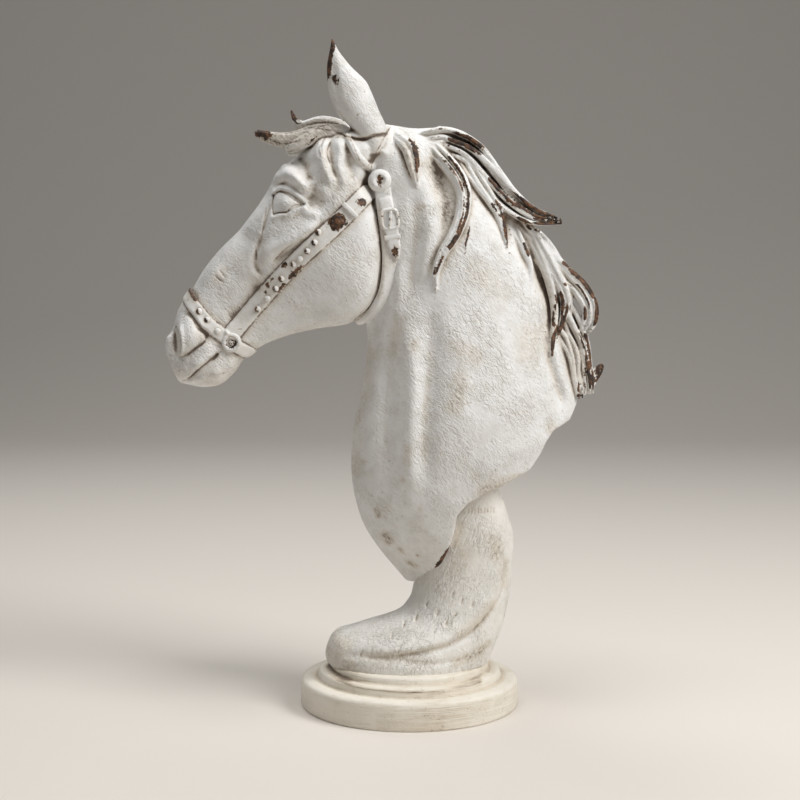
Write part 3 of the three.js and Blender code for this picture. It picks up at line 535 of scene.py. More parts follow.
def soft_least(a, b, blend):
    """The lesser of two distances, rounded where they are within the blend of each other."""
    if blend <= 0:
        return np.minimum(a, b)
    near = np.maximum(blend - np.abs(a - b), 0) / blend
    return np.minimum(a, b) - near * near * blend / 4


def loft(rings):
    """A closed mesh through rings of points, with its ends filled by fans."""
    rings = np.array(rings, float)
    count, sides, _ = rings.shape
    ring, side = np.meshgrid(np.arange(count - 1), np.arange(sides), indexing="ij")
    a = (ring * sides + side).ravel()
    b = (ring * sides + (side + 1) % sides).ravel()
    quads = np.column_stack([a, b, b + sides, a + sides])
    points = np.vstack([rings.reshape(-1, 3), rings[0].mean(axis=0), rings[-1].mean(axis=0)])
    first, last = count * sides, count * sides + 1
    turn = np.arange(sides)
    after = (turn + 1) % sides
    bottom = np.column_stack([after, turn, np.full(sides, first)])
    top = np.column_stack([turn, after, np.full(sides, last)]) + [[(count - 1) * sides] * 2 + [0]]
    return points, quads, np.vstack([bottom, top])


def outline_distance(outline, x, z):
    """Signed distance in the X-Z plane to a closed outline, negative inside it."""
    outline = np.array(outline, float)
    x, z = np.meshgrid(x, z, indexing="ij")
    best = np.full(x.shape, 1e9)
    inside = np.zeros(x.shape, bool)
    for (ax, az), (bx, bz) in zip(outline, np.roll(outline, -1, axis=0)):
        ex, ez = bx - ax, bz - az
        share = np.clip(((x - ax) * ex + (z - az) * ez) / (ex * ex + ez * ez + 1e-12), 0, 1)
        best = np.minimum(best, (x - ax - share * ex) ** 2 + (z - az - share * ez) ** 2)
        crosses = ((az > z) != (bz > z)) & (x < ex * (z - az) / (ez + (ez == 0) * 1e-12) + ax)
        inside ^= crosses
    return np.sqrt(best) * np.where(inside, -1, 1)


def line_distance(line, x, z):
    """Distance in the X-Z plane to a line, the share along it, and the side that it is on."""
    line = np.array(line, float)
    x, z = np.meshgrid(x, z, indexing="ij")
    best = np.full(x.shape, 1e9)
    along = np.zeros(x.shape)
    side = np.ones(x.shape)
    for step, ((ax, az), (bx, bz)) in enumerate(zip(line[:-1], line[1:])):
        ex, ez = bx - ax, bz - az
        share = np.clip(((x - ax) * ex + (z - az) * ez) / (ex * ex + ez * ez + 1e-12), 0, 1)
        gap = (x - ax - share * ex) ** 2 + (z - az - share * ez) ** 2
        closer = gap < best
        best = np.where(closer, gap, best)
        along = np.where(closer, (step + share) / (len(line) - 1), along)
        side = np.where(closer, np.sign(ex * (z - az) - ez * (x - ax)), side)
    return np.sqrt(best), along, side


def neck_mesh():
    rings = []
    for height in np.linspace(0.3, 101.6, 150):
        front, back, half = smooth_rows(NECK_SECTIONS, height)
        x, y = section_ring(72, front, back, NECK_WIDEST, half, (NECK_FRONT_FORM, NECK_CREST_FORM))
        rings.append([on_neck(a, b, height) for a, b in zip(x, y)])
    return loft(rings)


def head_mesh():
    rings = []
    for along in np.linspace(-3, 99.5, 140):
        face, jaw, half = smooth_rows(HEAD_SECTIONS, along)
        across, side = section_ring(72, jaw, face, HEAD_WIDEST, half, (HEAD_JAW_FORM, HEAD_FACE_FORM))
        rings.append([on_head(along, a, b) for a, b in zip(across, side)])
    return loft(rings)


def length_of(vectors):
    return np.linalg.norm(vectors, axis=-1, keepdims=True)


def add_strand(clay, points, width, thickness, facing, tip=0.1, blend=1.2, furrows=2, depth=0.5):
    """A tapering lock or strap along a curve, furrowed lengthwise like combed hair.

    Facing is the way that its broad side looks, as one vector or one for each of its points.
    """
    count = 44
    line = smooth_line(points, count)
    facing = np.broadcast_to(facing, (len(points), 3))
    facing = smooth_line(facing, count) if len(set(map(tuple, facing))) > 1 else facing[:1]
    tangent = np.gradient(line, axis=0)
    tangent /= length_of(tangent)
    outward = facing - (facing * tangent).sum(axis=1, keepdims=True) * tangent
    outward /= length_of(outward)
    broad = np.cross(tangent, outward)
    share = np.linspace(0, 1, count)
    fullness = tip + (1 - tip) * (0.6 + 0.4 * np.minimum(1, share * 3)) * (1 - share ** 3)
    fullness *= np.sqrt(1.02 - np.clip((share - 0.86) / 0.14, 0, 1) ** 2)
    half_width = width / 2 * fullness
    half_depth = thickness / 2 * np.sqrt(fullness)
    margin = width / 2 + blend + 2
    cut, x, y, z = clay.block(line.min(axis=0) - margin, line.max(axis=0) + margin)
    best = np.full(np.broadcast_shapes(x.shape, y.shape, z.shape), 1e9, np.float32)
    nearest = np.zeros(best.shape, np.int16)
    for number, centre in enumerate(line.astype(np.float32)):
        gap = ((x - centre[0]) ** 2 + (y - centre[1]) ** 2 + (z - centre[2]) ** 2).astype(np.float32)
        closer = gap < best
        best = np.where(closer, gap, best)
        nearest = np.where(closer, np.int16(number), nearest)
    close = best < margin ** 2
    place = np.stack(np.broadcast_arrays(x, y, z), axis=-1)[close]
    number = nearest[close]
    offset = place - line[number]
    u = (offset * broad[number]).sum(axis=1) / half_width[number]
    v = (offset * outward[number]).sum(axis=1) / half_depth[number]
    past_end = (offset * tangent[number]).sum(axis=1) * ((number == 0) | (number == count - 1))
    radius = np.sqrt(u * u + v * v) + 1e-6
    slope = np.sqrt((u / half_width[number]) ** 2 + (v / half_depth[number]) ** 2) / radius + 1e-6
    distance = np.maximum((radius - 1) / slope, -half_depth[number])
    if furrows:
        comb = 0.5 + 0.5 * np.cos(math.pi * (furrows * u + 1))
        distance += depth * fullness[number] * comb * np.clip(v + 0.3, 0, 1)
    step = np.linalg.norm(line[1] - line[0])
    distance = np.where(np.abs(past_end) > step, np.hypot(np.maximum(distance, 0), past_end), distance)
    field = clay.field[cut]
    field[close] = soft_least(field[close], distance.astype(np.float32), blend)


def add_lock(clay, points, width, thickness, facing, strands, tip=0.12, blend=1.1):
    """A lock of hair: strands side by side that sway a little and run together at its tip."""
    steps = 26
    line = smooth_line(points, steps)
    facing = np.array(facing, float) / np.linalg.norm(facing)
    tangent = np.gradient(line, axis=0)
    broad = np.cross(tangent / length_of(tangent), facing)
    share = np.linspace(0, 1, steps)[:, None]
    for number in range(strands):
        place = (number - (strands - 1) / 2) / strands
        sway = 0.07 * np.sin(share * 5.5 + number * 2.4 + width)
        rise = thickness * 0.14 * math.cos(number * 2.3 + width) * (1 - share)
        spread = 0.95 * place * (1 - 0.95 * (1 - tip) * share ** 2.6)
        root = 0.7 * thickness * np.maximum(0, 1 - share / 0.18) ** 2
        path = line + broad * width * (spread + sway * (1 - share ** 2)) + facing * (rise - root)
        stop = steps - round(2 * abs(place) * (1 + math.sin(number + width)))
        add_strand(clay, path[:stop:2], width / strands * (1.5 if strands > 1 else 1), thickness, facing,
                   tip=tip, blend=blend, furrows=1 if strands > 1 else 2, depth=0.3 + 0.03 * width)


def ridge(clay, line, width, height, sides=(-1, 1), taper=True):
    """Raises a soft ridge, or with a negative height cuts a furrow, along a line in the X-Z plane."""
    line = smooth_line(line, 24)
    low, high = line.min(axis=0) - 3 * width, line.max(axis=0) + 3 * width
    _, x, _, z = clay.column(low, high)
    gap, along, _ = line_distance(line, x.ravel(), z.ravel())
    fade = np.minimum(1, 5 * np.minimum(along, 1 - along) + 0.15) if taper else 1
    heights = height * fade * np.exp(-(gap / width) ** 2)
    clay.relief(heights, low, high, sides)


def step_edge(clay, line, reach, height, sides=(-1, 1), sharp=0.8):
    """Raises the clay on the left of a line, steeply at the line and fading out beyond it."""
    line = smooth_line(line, 24)
    low, high = line.min(axis=0) - 2 * reach, line.max(axis=0) + 2 * reach
    _, x, _, z = clay.column(low, high)
    gap, along, side = line_distance(line, x.ravel(), z.ravel())
    signed = gap * side
    fade = np.clip(5 * np.minimum(along, 1 - along), 0, 1)
    rise = 0.5 + 0.5 * np.tanh(signed / sharp)
    heights = height * fade * rise * np.exp(-(np.maximum(signed, 0) / reach) ** 2)
    clay.relief(heights, low, high, sides)


def bump(clay, centre, size, height, sides=(-1, 1), angle=0.0):
    """Raises or presses in a soft oval on the side; size is its two half widths."""
    reach = 3 * max(size)
    low, high = np.array(centre) - reach, np.array(centre) + reach
    _, x, _, z = clay.column(low, high)
    dx, dz = x.reshape(-1, 1) - centre[0], z.reshape(1, -1) - centre[1]
    turn = math.radians(angle)
    along = dx * math.cos(turn) + dz * math.sin(turn)
    across = dz * math.cos(turn) - dx * math.sin(turn)
    heights = height * np.exp(-(along / size[0]) ** 2 - (across / size[1]) ** 2)
    clay.relief(heights, low, high, sides)


def surface_y(clay, x, z, side):
    """How far out the clay's surface lies at a place on its profile, on one side."""
    out = np.arange(0, 60, 0.25)
    places = np.column_stack([np.full(len(out), x), side * out, np.full(len(out), z)])
    values = clay.sample(places)
    inside = np.nonzero(values < 0)[0]
    return side * (out[inside[-1]] if len(inside) else 0.0)


def new_object(name, points, quads, triangles=()):
    """A smooth mesh object from points in millimetres and faces of four and three corners."""
    if not len(points):
        raise RuntimeError("No surface was made for " + name)
    mesh = bpy.data.meshes.new(name)
    quads = np.asarray(quads, np.int32).reshape(-1, 4)
    triangles = np.asarray(triangles, np.int32).reshape(-1, 3)
    corners = np.concatenate([quads.ravel(), triangles.ravel()])
    starts = np.concatenate([np.arange(len(quads)) * 4, quads.size + np.arange(len(triangles)) * 3])
    mesh.vertices.add(len(points))
    mesh.vertices.foreach_set("co", (np.asarray(points) * MM).astype(np.float32).ravel())
    mesh.loops.add(len(corners))
    mesh.loops.foreach_set("vertex_index", corners)
    mesh.polygons.add(len(starts))
    mesh.polygons.foreach_set("loop_start", starts.astype(np.int32))
    mesh.update(calc_edges=True)
    mesh.shade_smooth()
    piece = bpy.data.objects.new(name, mesh)
    bpy.context.scene.collection.objects.link(piece)
    return piece


def join_meshes(meshes):
    """One mesh of points, quads and triangles from several."""
    points, quads, triangles, start = [], [], [], 0
    for some_points, some_quads, some_triangles in meshes:
        points.append(some_points)
        quads.append(np.asarray(some_quads).reshape(-1, 4) + start)
        triangles.append(np.asarray(some_triangles).reshape(-1, 3) + start)
        start += len(some_points)
    return np.vstack(points), np.vstack(quads), np.vstack(triangles)


def thin_out(piece, most_triangles):
    """Merges faces where the surface is flattest, until the mesh has few enough."""
    count = sum(len(face.vertices) - 2 for face in piece.data.polygons)
    if count <= most_triangles:
        return
    modifier = piece.modifiers.new("Thin out", "DECIMATE")
    modifier.ratio = most_triangles / count
    evaluated = piece.evaluated_get(bpy.context.evaluated_depsgraph_get())
    dense, thin = piece.data, bpy.data.meshes.new_from_object(evaluated)
    piece.modifiers.clear()
    piece.data = thin
    bpy.data.meshes.remove(dense)
    thin.shade_smooth()


def blurred(values, reach):
    """A block of values, each averaged with those up to the reach away along X, Y and Z."""
    for axis in (0, 1, 2) * 2:
        pad = [(0, 0)] * 3
        pad[axis] = (reach + 1, reach)
        total = np.cumsum(np.pad(values, pad, mode="edge"), axis=axis, dtype=np.float32)
        upper = [slice(None)] * 3
        lower = [slice(None)] * 3
        upper[axis], lower[axis] = slice(2 * reach + 1, None), slice(None, -2 * reach - 1)
        values = (total[tuple(upper)] - total[tuple(lower)]) / (2 * reach + 1)
    return values


def crowding(clay, points, reach):
    """How enclosed each place on the surface is: above 0 in a hollow, below 0 on an edge."""
    solid = np.clip(0.5 - clay.field / clay.voxel, 0, 1)
    shade = Clay((0, 0, 0), (0, 0, 0), clay.voxel)
    shade.low, shade.size = clay.low, clay.size
    shade.field = blurred(solid, max(1, round(reach / clay.voxel)))
    return (shade.sample(points) - 0.5) * 2


def gap_to_line(points, line):
    """Distance seen from the side between each point and a line given by x and height."""
    if len(line) == 1:
        return np.linalg.norm(points[:, [0, 2]] - line[0], axis=1)
    gap = np.full(len(points), 1e9)
    for a, b in zip(line[:-1], line[1:]):
        offset, edge = points[:, [0, 2]] - a, b - a
        share = np.clip((offset @ edge) / (edge @ edge), 0, 1)
        gap = np.minimum(gap, np.linalg.norm(offset - share[:, None] * edge, axis=1))
    return gap


def patches(points, marks):
    """Strength at each point of marks on the photographed side: a line, a radius and a strength."""
    total = np.zeros(len(points))
    for line, radius, strength in marks:
        gap = gap_to_line(points, spots(*line)) / (radius * SCALE)
        total = np.maximum(total, strength * np.clip(1.5 - gap, 0, 1))
    return total * np.clip(1 - points[:, 1] / (8 * SCALE), 0, 1)


def store(piece, **attributes):
    for name, values in attributes.items():
        layer = piece.data.attributes.new(name, "FLOAT", "POINT")
        layer.data.foreach_set("value", np.asarray(values, np.float32))


def vertices_of(piece):
    flat = np.empty(len(piece.data.vertices) * 3, np.float32)
    piece.data.vertices.foreach_get("co", flat)
    return flat.reshape(-1, 3).astype(float) / MM


def shape_muscles(clay):
    """The long muscles of the neck and the windpipe's edge in front of them."""
    for line, width, height in NECK_LINES:
        ridge(clay, spots(*line), width, height)
    bump(clay, spot(52, 285), spot(26, 30), 2.2)
    bump(clay, spot(60, 190), spot(32, 26), 1.6)


def lock_line(path, lift, free, side):
    """A mane lock's places in millimetres from its percents of NECK_HEIGHT."""
    line = []
    for x, height in path:
        out = free if free < 0 else max(float(neck_side(x, height)) + lift, free)
        line.append(on_neck(x, side * out, height))
    return line


def shape_mane(clay):
    bump(clay, spot(5, 394), spot(13, 8), -6.0, sides=())
    for x, z, wide, high, depth, angle in MANE_HOLLOWS:
        bump(clay, spot(x, z), spot(wide, high), -depth, sides=(-1,), angle=angle)
    for width, lift, free, path, *tip in NEAR_LOCKS:
        breadth = width * NECK_HEIGHT / 100
        add_lock(clay, lock_line(path, lift, free, -1), breadth, breadth * 0.8, (0, -1, 0),
                 max(1, round(breadth / 3.4)), *tip)
    for number in range(9):
        height = 96 - 5.2 * number
        crest = smooth_rows(NECK_SECTIONS, height)[1]
        path = [(crest + drift + 0.9 * math.sin(number * 1.7 + step * 2.1), height + fall)
                for step, (fall, drift) in enumerate(FAR_LOCK_FALL)]
        breadth = (4.2 + 0.8 * math.sin(number * 2.3)) * NECK_HEIGHT / 100
        add_lock(clay, lock_line(path, 0.4, 1.5, 1), breadth, breadth * 0.8, (0, 1, 0), strands=3)


def neck_clay():
    clay = Clay(spot(-48, -58, 74), spot(138, 58, 402), NECK_VOXEL)
    clay.add(neck_mesh())
    shape_muscles(clay)
    shape_mane(clay)
    rim = [on_neck(x, 0, height)[[0, 2]] for x, height in RIM + [(70, 40.4), (70, -20), (1.7, -20)]]
    x, _, z = clay.axes()
    beyond = outline_distance(rim, x, z)[:, None, :].astype(np.float32)
    clay.field = -soft_least(-clay.field, np.broadcast_to(beyond, clay.field.shape), 2.0)
    return clay


def shape_eye(clay):
    top = spots((-89, 343), (-85, 345.5), (-80, 344.6), (-74, 341.2), (-68.5, 336.8))
    low = spots((-68.5, 336.4), (-75, 334), (-80.5, 331.2), (-84.5, 331.2), (-88.5, 330))
    front = spots((-88.5, 330), (-89.8, 336), (-89, 343))
    bump(clay, spot(-78, 340), spot(16, 12), -3.4, angle=-20)
    bump(clay, spot(-80, 338), spot(8, 6.5), 4.6, angle=-15)
    ridge(clay, top + (0.3, 1.5), 1.9, 2.0, taper=False)
    ridge(clay, low + (0.5, -1.7), 1.9, 1.4, taper=False)
    ridge(clay, top, 0.8, -1.5, taper=False)
    ridge(clay, low, 0.8, -1.2, taper=False)
    ridge(clay, front, 0.8, -1.2, taper=False)
    ridge(clay, top + (0.8, 4.6), 1.0, -0.4)


def shape_face(clay):
    """The bones, hollows and folds of both sides of the face, in millimetres."""
    bump(clay, spot(-42, 297), spot(30, 34), 2.2)
    shape_eye(clay)
    lips = spots((-151, 220), (-146.7, 222), (-140.4, 227.4), (-132.5, 233.8), (-124, 240.6))
    step_edge(clay, lips, 5, 2.0)
    for line, width, height in FACE_LINES:
        ridge(clay, spots(*line), width, height)
    for x, z, wide, high, height, angle in FACE_BUMPS:
        bump(clay, spot(x, z), spot(wide, high), height, angle=angle)


def raise_strap(clay, line, width, height):
    """Raises a flat strap with softly rounded edges along a line in the X-Z plane."""
    low, high = line.min(axis=0) - width, line.max(axis=0) + width
    cut, x, _, z = clay.column(low, high)
    gap, _, _ = line_distance(line, x.ravel(), z.ravel())
    inside = np.clip((width / 2 - gap) / 1.1 + 0.5, 0, 1)
    shoulder = 1 - 0.22 * np.clip(1 - (width / 2 - gap) / 2.2, 0, 1) ** 2
    clay.field[cut] -= (height * inside ** 0.7 * shoulder)[:, None, :].astype(np.float32)


def shape_straps(clay):
    sizes = bpy.context.scene.horse_head_sizes
    cheek = smooth_line(spots(*CHEEK_STRAP), 30)
    nose = smooth_line(spots(*NOSEBAND), 30)
    poll_strap = smooth_line(spots(*POLL_STRAP), 20)
    thickness = sizes.strap_thickness / MM
    for line, width, height in ((cheek, sizes.strap_width / MM, thickness),
                                (nose, sizes.noseband_width / MM, thickness),
                                (poll_strap, sizes.strap_width / MM, thickness * 0.7)):
        raise_strap(clay, line, width, height)


def crease_distance(points, lines):
    """Millimetres from each point to the nearest scored line, seen from the side."""
    best = np.full(len(points), OUT_OF_REACH)
    for line in lines:
        best = np.minimum(best, gap_to_line(points, smooth_line(spots(*line), 20)))
    return best


def strap_distance(points):
    """Millimetres from each point to the nearest strap's edge, negative on the strap."""
    sizes = bpy.context.scene.horse_head_sizes
    best = np.full(len(points), OUT_OF_REACH)
    for line, width in ((CHEEK_STRAP, sizes.strap_width), (NOSEBAND, sizes.noseband_width),
                        (POLL_STRAP, sizes.strap_width), (THROAT_LINE, sizes.throat_strap_width)):
        best = np.minimum(best, gap_to_line(points, smooth_line(spots(*line), 24)) - width / MM / 2)
    return np.clip(best, -OUT_OF_REACH, OUT_OF_REACH)


def ear_mesh(side, cup):
    """The outer form of an ear, or the hollow of its cup; side is -1 for the photographed one."""
    rings = []
    low, high = (4.5, 29.5) if cup else (EAR_SECTIONS[0][0], EAR_SECTIONS[-1][0])
    for height in np.linspace(low, high, 60):
        front, back, half = smooth_rows(EAR_SECTIONS, height)
        middle = 6.8 + 0.14 * height
        if cup:
            wide = math.sin(math.pi * (height - 3) / 28)
            front, back = front - 4, front + (back - front) * (0.1 + 0.6 * wide)
            middle, half = middle - half * 0.72, half * 0.66
        angle = np.linspace(0, 2 * math.pi, 40, endpoint=False)
        rings.append([beside_poll((front + back) / 2 + (back - front) / 2 * math.cos(a),
                                  side * (middle + half * math.sin(a)), height) for a in angle * side])
    return loft(rings)


def shape_forelock(clay):
    for width, path in FORELOCK:
        breadth = width * HEAD_LENGTH / 100
        line = [beside_poll(x, -y, height) for x, y, height in path]
        add_lock(clay, line, breadth, breadth * 0.75, (-0.3, -0.25, 1), strands=4, tip=0.2, blend=0.9)


@functools.cache
def head_clay():
    """The head as clay, kept because the fittings are set on it; the head's operator renews it."""
    clay = Clay(spot(-168, -46, 206), spot(24, 46, 446), HEAD_VOXEL)
    clay.add(head_mesh())
    shape_face(clay)
    shape_straps(clay)
    for side in (-1, 1):
        clay.add(ear_mesh(side, cup=False), blend=1.5)
        clay.cut(ear_mesh(side, cup=True), blend=1.0)
    shape_forelock(clay)
    for line, width, height in EAR_LINES:
        ridge(clay, spots(*line), width, height)
    for line in FACE_CREASES:
        ridge(clay, spots(*line), 0.7, -0.5)
    for side in (-1, 1):
        curl = spots((-41, 380), (-37.2, 373.6), (-33.2, 366.6), (-30.2, 363.6), (-26.6, 361.9))
        places = [(x, surface_y(clay, x, z, side) + 1.0 * side, z) for x, z in curl]
        add_strand(clay, places, 5.2, 5.2, (0, side, 0), tip=0.8, blend=0.6, furrows=0)
    skull = clay.field.copy()
    clay.add(neck_mesh(), blend=5.0)
    clay.field = np.maximum(clay.field, skull - 4.6)
    return clay


def stand_mesh():
    rings = []
    for height in np.linspace(STAND_SECTIONS[0][0], STAND_SECTIONS[-1][0], 90):
        left, right, half = smooth_rows(STAND_SECTIONS, height)
        middle, reach = (left + right) / 2, (right - left) / 2
        rings.append([on_stand(middle + reach * math.cos(a), half * math.sin(a), height)
                      for a in np.linspace(0, 2 * math.pi, 96, endpoint=False)])
    return loft(rings)


def stand_clay():
    clay = Clay(spot(-66, -56, 20), spot(76, 56, 172), STAND_VOXEL)
    clay.add(stand_mesh())
    fold = spots((66, 118), (65, 104), (63, 92), (59, 79), (52, 68), (43, 59), (29, 51.5), (9, 46.5),
                 (-10, 43.5), (-30, 42.5))
    step_edge(clay, fold[::-1], 10, 2.2, sharp=1.6)
    ridge(clay, fold + (0.6, -1.8), 2.4, -1.8)
    bump(clay, spot(-48, 44), spot(7, 8), 2.4)
    for line in STAND_CREASES:
        ridge(clay, spots(*line), 0.8, -0.7, sides=(-1,), taper=False)
    ridge(clay, spots((52, 46), (35, 39), (22, 37), (-5, 38.5), (-31, 40), (-52, 38)), 2.0, -1.2)
    return clay


def turned(profile, segments, centre=(0, 0, 0), towards=(0, 0, 1)):
    """A closed mesh turned about an axis, from pairs of radius and height."""
    towards = np.array(towards, float) / np.linalg.norm(towards)
    across = np.cross(towards, (0.3, 1, 0.2) if abs(towards[1]) < 0.9 else (0, 0, 1))
    across /= np.linalg.norm(across)
    over = np.cross(towards, across)
    angle = np.linspace(0, 2 * math.pi, segments, endpoint=False)[:, None]
    rings = [np.array(centre) + radius * (np.cos(angle) * across + np.sin(angle) * over) + height * towards
             for radius, height in profile]
    return loft(rings)


def rounded_profile(corners, rounding):
    """A profile of radius and height whose inner corners are rounded by short curves."""
    corners = np.array(corners, float)
    line = [corners[0]]
    for before, corner, after in zip(corners[:-2], corners[1:-1], corners[2:]):
        back, ahead = before - corner, after - corner
        reach = min(rounding, np.linalg.norm(back) / 2.2, np.linalg.norm(ahead) / 2.2)
        start = corner + back / np.linalg.norm(back) * reach
        end = corner + ahead / np.linalg.norm(ahead) * reach
        for share in (0, 0.25, 0.5, 0.75, 1):
            line.append((1 - share) ** 2 * start + 2 * share * (1 - share) * corner + share ** 2 * end)
    return np.array(line + [corners[-1]])


def flat_strap(points, widths, thickness, facing, count=18):
    """A closed strap of rounded rectangular section along a line of places in millimetres."""
    line = smooth_line(points, count)
    facing = np.broadcast_to(facing, (len(points), 3))
    rows = np.column_stack([np.arange(len(points)), facing])
    facing = smooth_rows(rows, np.linspace(0, len(points) - 1, count))
    widths = np.interp(np.linspace(0, 1, count), np.linspace(0, 1, len(widths)), widths)
    tangent = np.gradient(line, axis=0)
    tangent /= length_of(tangent)
    facing = facing - (tangent * facing).sum(axis=1, keepdims=True) * tangent
    facing /= length_of(facing)
    broad = np.cross(tangent, facing)
    angle = np.linspace(0, 2 * math.pi, 20, endpoint=False)
    round_x = np.sign(np.cos(angle)) * np.abs(np.cos(angle)) ** 0.45
    round_y = np.sign(np.sin(angle)) * np.abs(np.sin(angle)) ** 0.6
    rings = [centre + np.outer(round_x * width / 2, side) + np.outer(round_y * thickness / 2, out)
             for centre, width, side, out in zip(line, widths, broad, facing)]
    return loft(rings)


def frame_ring(centre, width, height, bar, depth, tilt, side):
    """A rounded rectangular buckle frame that faces the given side."""
    count, rings = 40, []
    turn = np.radians(tilt)
    for angle in np.linspace(0, 2 * math.pi, count, endpoint=False):
        power = 0.55
        x = math.copysign(abs(math.cos(angle)) ** power, math.cos(angle)) * width / 2
        z = math.copysign(abs(math.sin(angle)) ** power, math.sin(angle)) * height / 2
        x, z = x * math.cos(turn) - z * math.sin(turn), x * math.sin(turn) + z * math.cos(turn)
        inward = -np.array([x, 0, z]) / math.hypot(x, z)
        section = np.linspace(0, 2 * math.pi, 10, endpoint=False)
        rings.append([np.array(centre) + (x, 0, z) + inward * bar / 2 * math.cos(a)
                      + np.array([0, side * depth / 2 * math.sin(a), 0]) for a in section])
    rings = np.array(rings)
    points = rings.reshape(-1, 3)
    ring, turn = np.meshgrid(np.arange(count), np.arange(10), indexing="ij")
    after, beyond = (ring + 1) % count, (turn + 1) % 10
    quads = np.stack([ring * 10 + turn, ring * 10 + beyond, after * 10 + beyond, after * 10 + turn], axis=-1)
    return points, quads.reshape(-1, 4)[:, ::side], []


def place_fittings(clay):
    """The studs, rosette, ring, buckle and keepers on the straps of both sides, and their wear."""
    sizes = bpy.context.scene.horse_head_sizes
    stud, rosette = sizes.stud_diameter / MM / 2, sizes.rosette_diameter / MM / 2
    ring = 0.86 * rosette
    made, wear = [], []

    def keep(mesh, worn):
        points = mesh[0]
        made.append(mesh)
        wear.append(worn(points[:, 0], points[:, 2]) if callable(worn) else np.full(len(points), worn))

    near = np.array([(x, -out, z) for x, z, out, *_ in THROAT_STRAP]) * SCALE
    facing = np.array([(x, -y, z) for *_, x, z, y in THROAT_STRAP])
    across = (1, -1, 1)
    path = np.vstack([near, near[-2::-1] * across])
    facing = np.vstack([facing, facing[-2::-1] * across])
    keep(flat_strap(path, (sizes.throat_strap_width / MM,), THROAT_STRAP_DEPTH, facing, count=90), 0.2)
    for side in (-1, 1):
        def seat(x, z, lift=0.0):
            x, z = spot(x, z)
            return np.array([x, surface_y(clay, x, z, side) + side * lift, z])

        for number, (x, z) in enumerate(STUDS):
            profile = [(0.01, -2), (stud, -2), (stud, 0.3), (stud * 0.9, 1.0), (stud * 0.62, 1.5),
                       (stud * 0.3, 1.7), (0.01, 1.7)]
            keep(turned(profile, 24, seat(x, z), (0, side, 0)),
                 lambda px, pz: np.clip(0.95 + 0.6 * (x * SCALE - px) - 0.25 * (pz - z * SCALE), 0, 1.3)
                 if number % 4 != 3 else np.full(len(px), 0.3))
        middle = np.array([-19.6 * SCALE, side * 22.6 * SCALE, 352.0 * SCALE])
        profile = [(0.01, -6), (rosette, -6), (rosette * 1.02, 0.0), (rosette * 0.96, 1.5),
                   (rosette * 0.84, 2.6), (rosette * 0.62, 3.4), (rosette * 0.48, 3.5),
                   (rosette * 0.42, 2.9), (rosette * 0.2, 2.7), (0.01, 2.7)]
        keep(turned(profile, 48, middle, (0, side, 0)), lambda px, pz: 1.25 * np.clip(
            1.45 - np.hypot((px - middle[0]) / 2.9, (pz - middle[2]) / 5.6), 0, 1))
        low = seat(-117, 246.5)
        profile = [(0.01, -3), (ring, -3), (ring * 1.02, 0.4), (ring * 0.95, 1.5), (ring * 0.78, 2.1),
                   (ring * 0.62, 1.8), (ring * 0.5, 0.4), (ring * 0.36, 0.2), (ring * 0.3, 1.2), (0.01, 1.5)]
        keep(turned(profile, 40, low, (0, side, 0)),
             lambda px, pz: np.where(np.hypot(px - low[0], pz - low[2]) < ring * 0.62, 1.1, 0.35))
        out = side * 25.6 * SCALE
        strap = [(x * SCALE, out + side * lift, z * SCALE) for x, z, lift in
                 ((-16.2, 341, -2.0), (-15, 336, -0.6), (-13.2, 328, 0.3), (-11.6, 317, 0.4),
                  (-9.6, 308, -0.2), (-8.0, 301, -1.4))]
        keep(flat_strap(strap, (8.5, 9, 9.5, 9, 8.2, 2.2), 3.4, (0, side, 0)),
             lambda px, pz: 0.62 + 0.9 * np.clip(
                 1.3 - np.hypot((px + 9.5 * SCALE) / 2.6, (pz - 306 * SCALE) / 5), 0, 1))
        hub = np.array([-13.0 * SCALE, out + side * 1.2, 327.0 * SCALE])
        keep(frame_ring(hub, 10.5, 12.5, 2.6, 3.2, 8, side), 0.7)
        pin = [hub + (0.6, side * 1.3, 5.2), hub + (0.2, side * 1.9, 0), hub + (-0.4, side * 1.2, -6.0)]
        keep(flat_strap(pin, (1.8, 1.8, 1.2), 1.6, (0, side, 0)), 0.8)
        for x, y, z, tall, tilt, reach in ((-11.4, out, 315.5, 3.2, 8, 5.4),
                                           (-38.5, seat(-38.5, 332.5)[1], 332.5, 3.0, -45, 6.4)):
            heart = np.array([x * SCALE, y + side * 1.0, z * SCALE])
            along = np.array([math.cos(math.radians(tilt)), 0, math.sin(math.radians(tilt))])
            places = [heart - along * reach, heart, heart + along * reach]
            keep(flat_strap(places, (tall,), 2.6, (0, side, 0)), 0.35)
        band = [seat(x, z, 0.2) for x, z in ((-44, 322), (-47.5, 325.5), (-50, 328.5))]
        keep(flat_strap(band, (7.0, 8.6, 7.0), 2.4, (0, side, 0)), 1.35)
    return join_meshes(made), np.concatenate(wear)


def linear(colour):
    """Linear red, green and blue from an sRGB hex value."""
    parts = [int(colour[i:i + 2], 16) / 255 for i in (1, 3, 5)]
    return [part / 12.92 if part <= 0.04045 else ((part + 0.055) / 1.055) ** 2.4 for part in parts]


def add_node(tree, kind, inputs=None, output=0, **settings):
    """Adds a node with its settings, sets or links its inputs, and gives one of its outputs."""
    node = tree.nodes.new(kind)
    for name, value in settings.items():
        setattr(node, name, value)
    for name, value in (inputs or {}).items():
        socket = node.inputs[name]
        if isinstance(value, bpy.types.NodeSocket):
            tree.links.new(value, socket)
        else:
            socket.default_value = value
    return node.outputs[output] if node.outputs else node


MATH, RANGE, BLEND = "ShaderNodeMath", "ShaderNodeMapRange", "ShaderNodeMix"

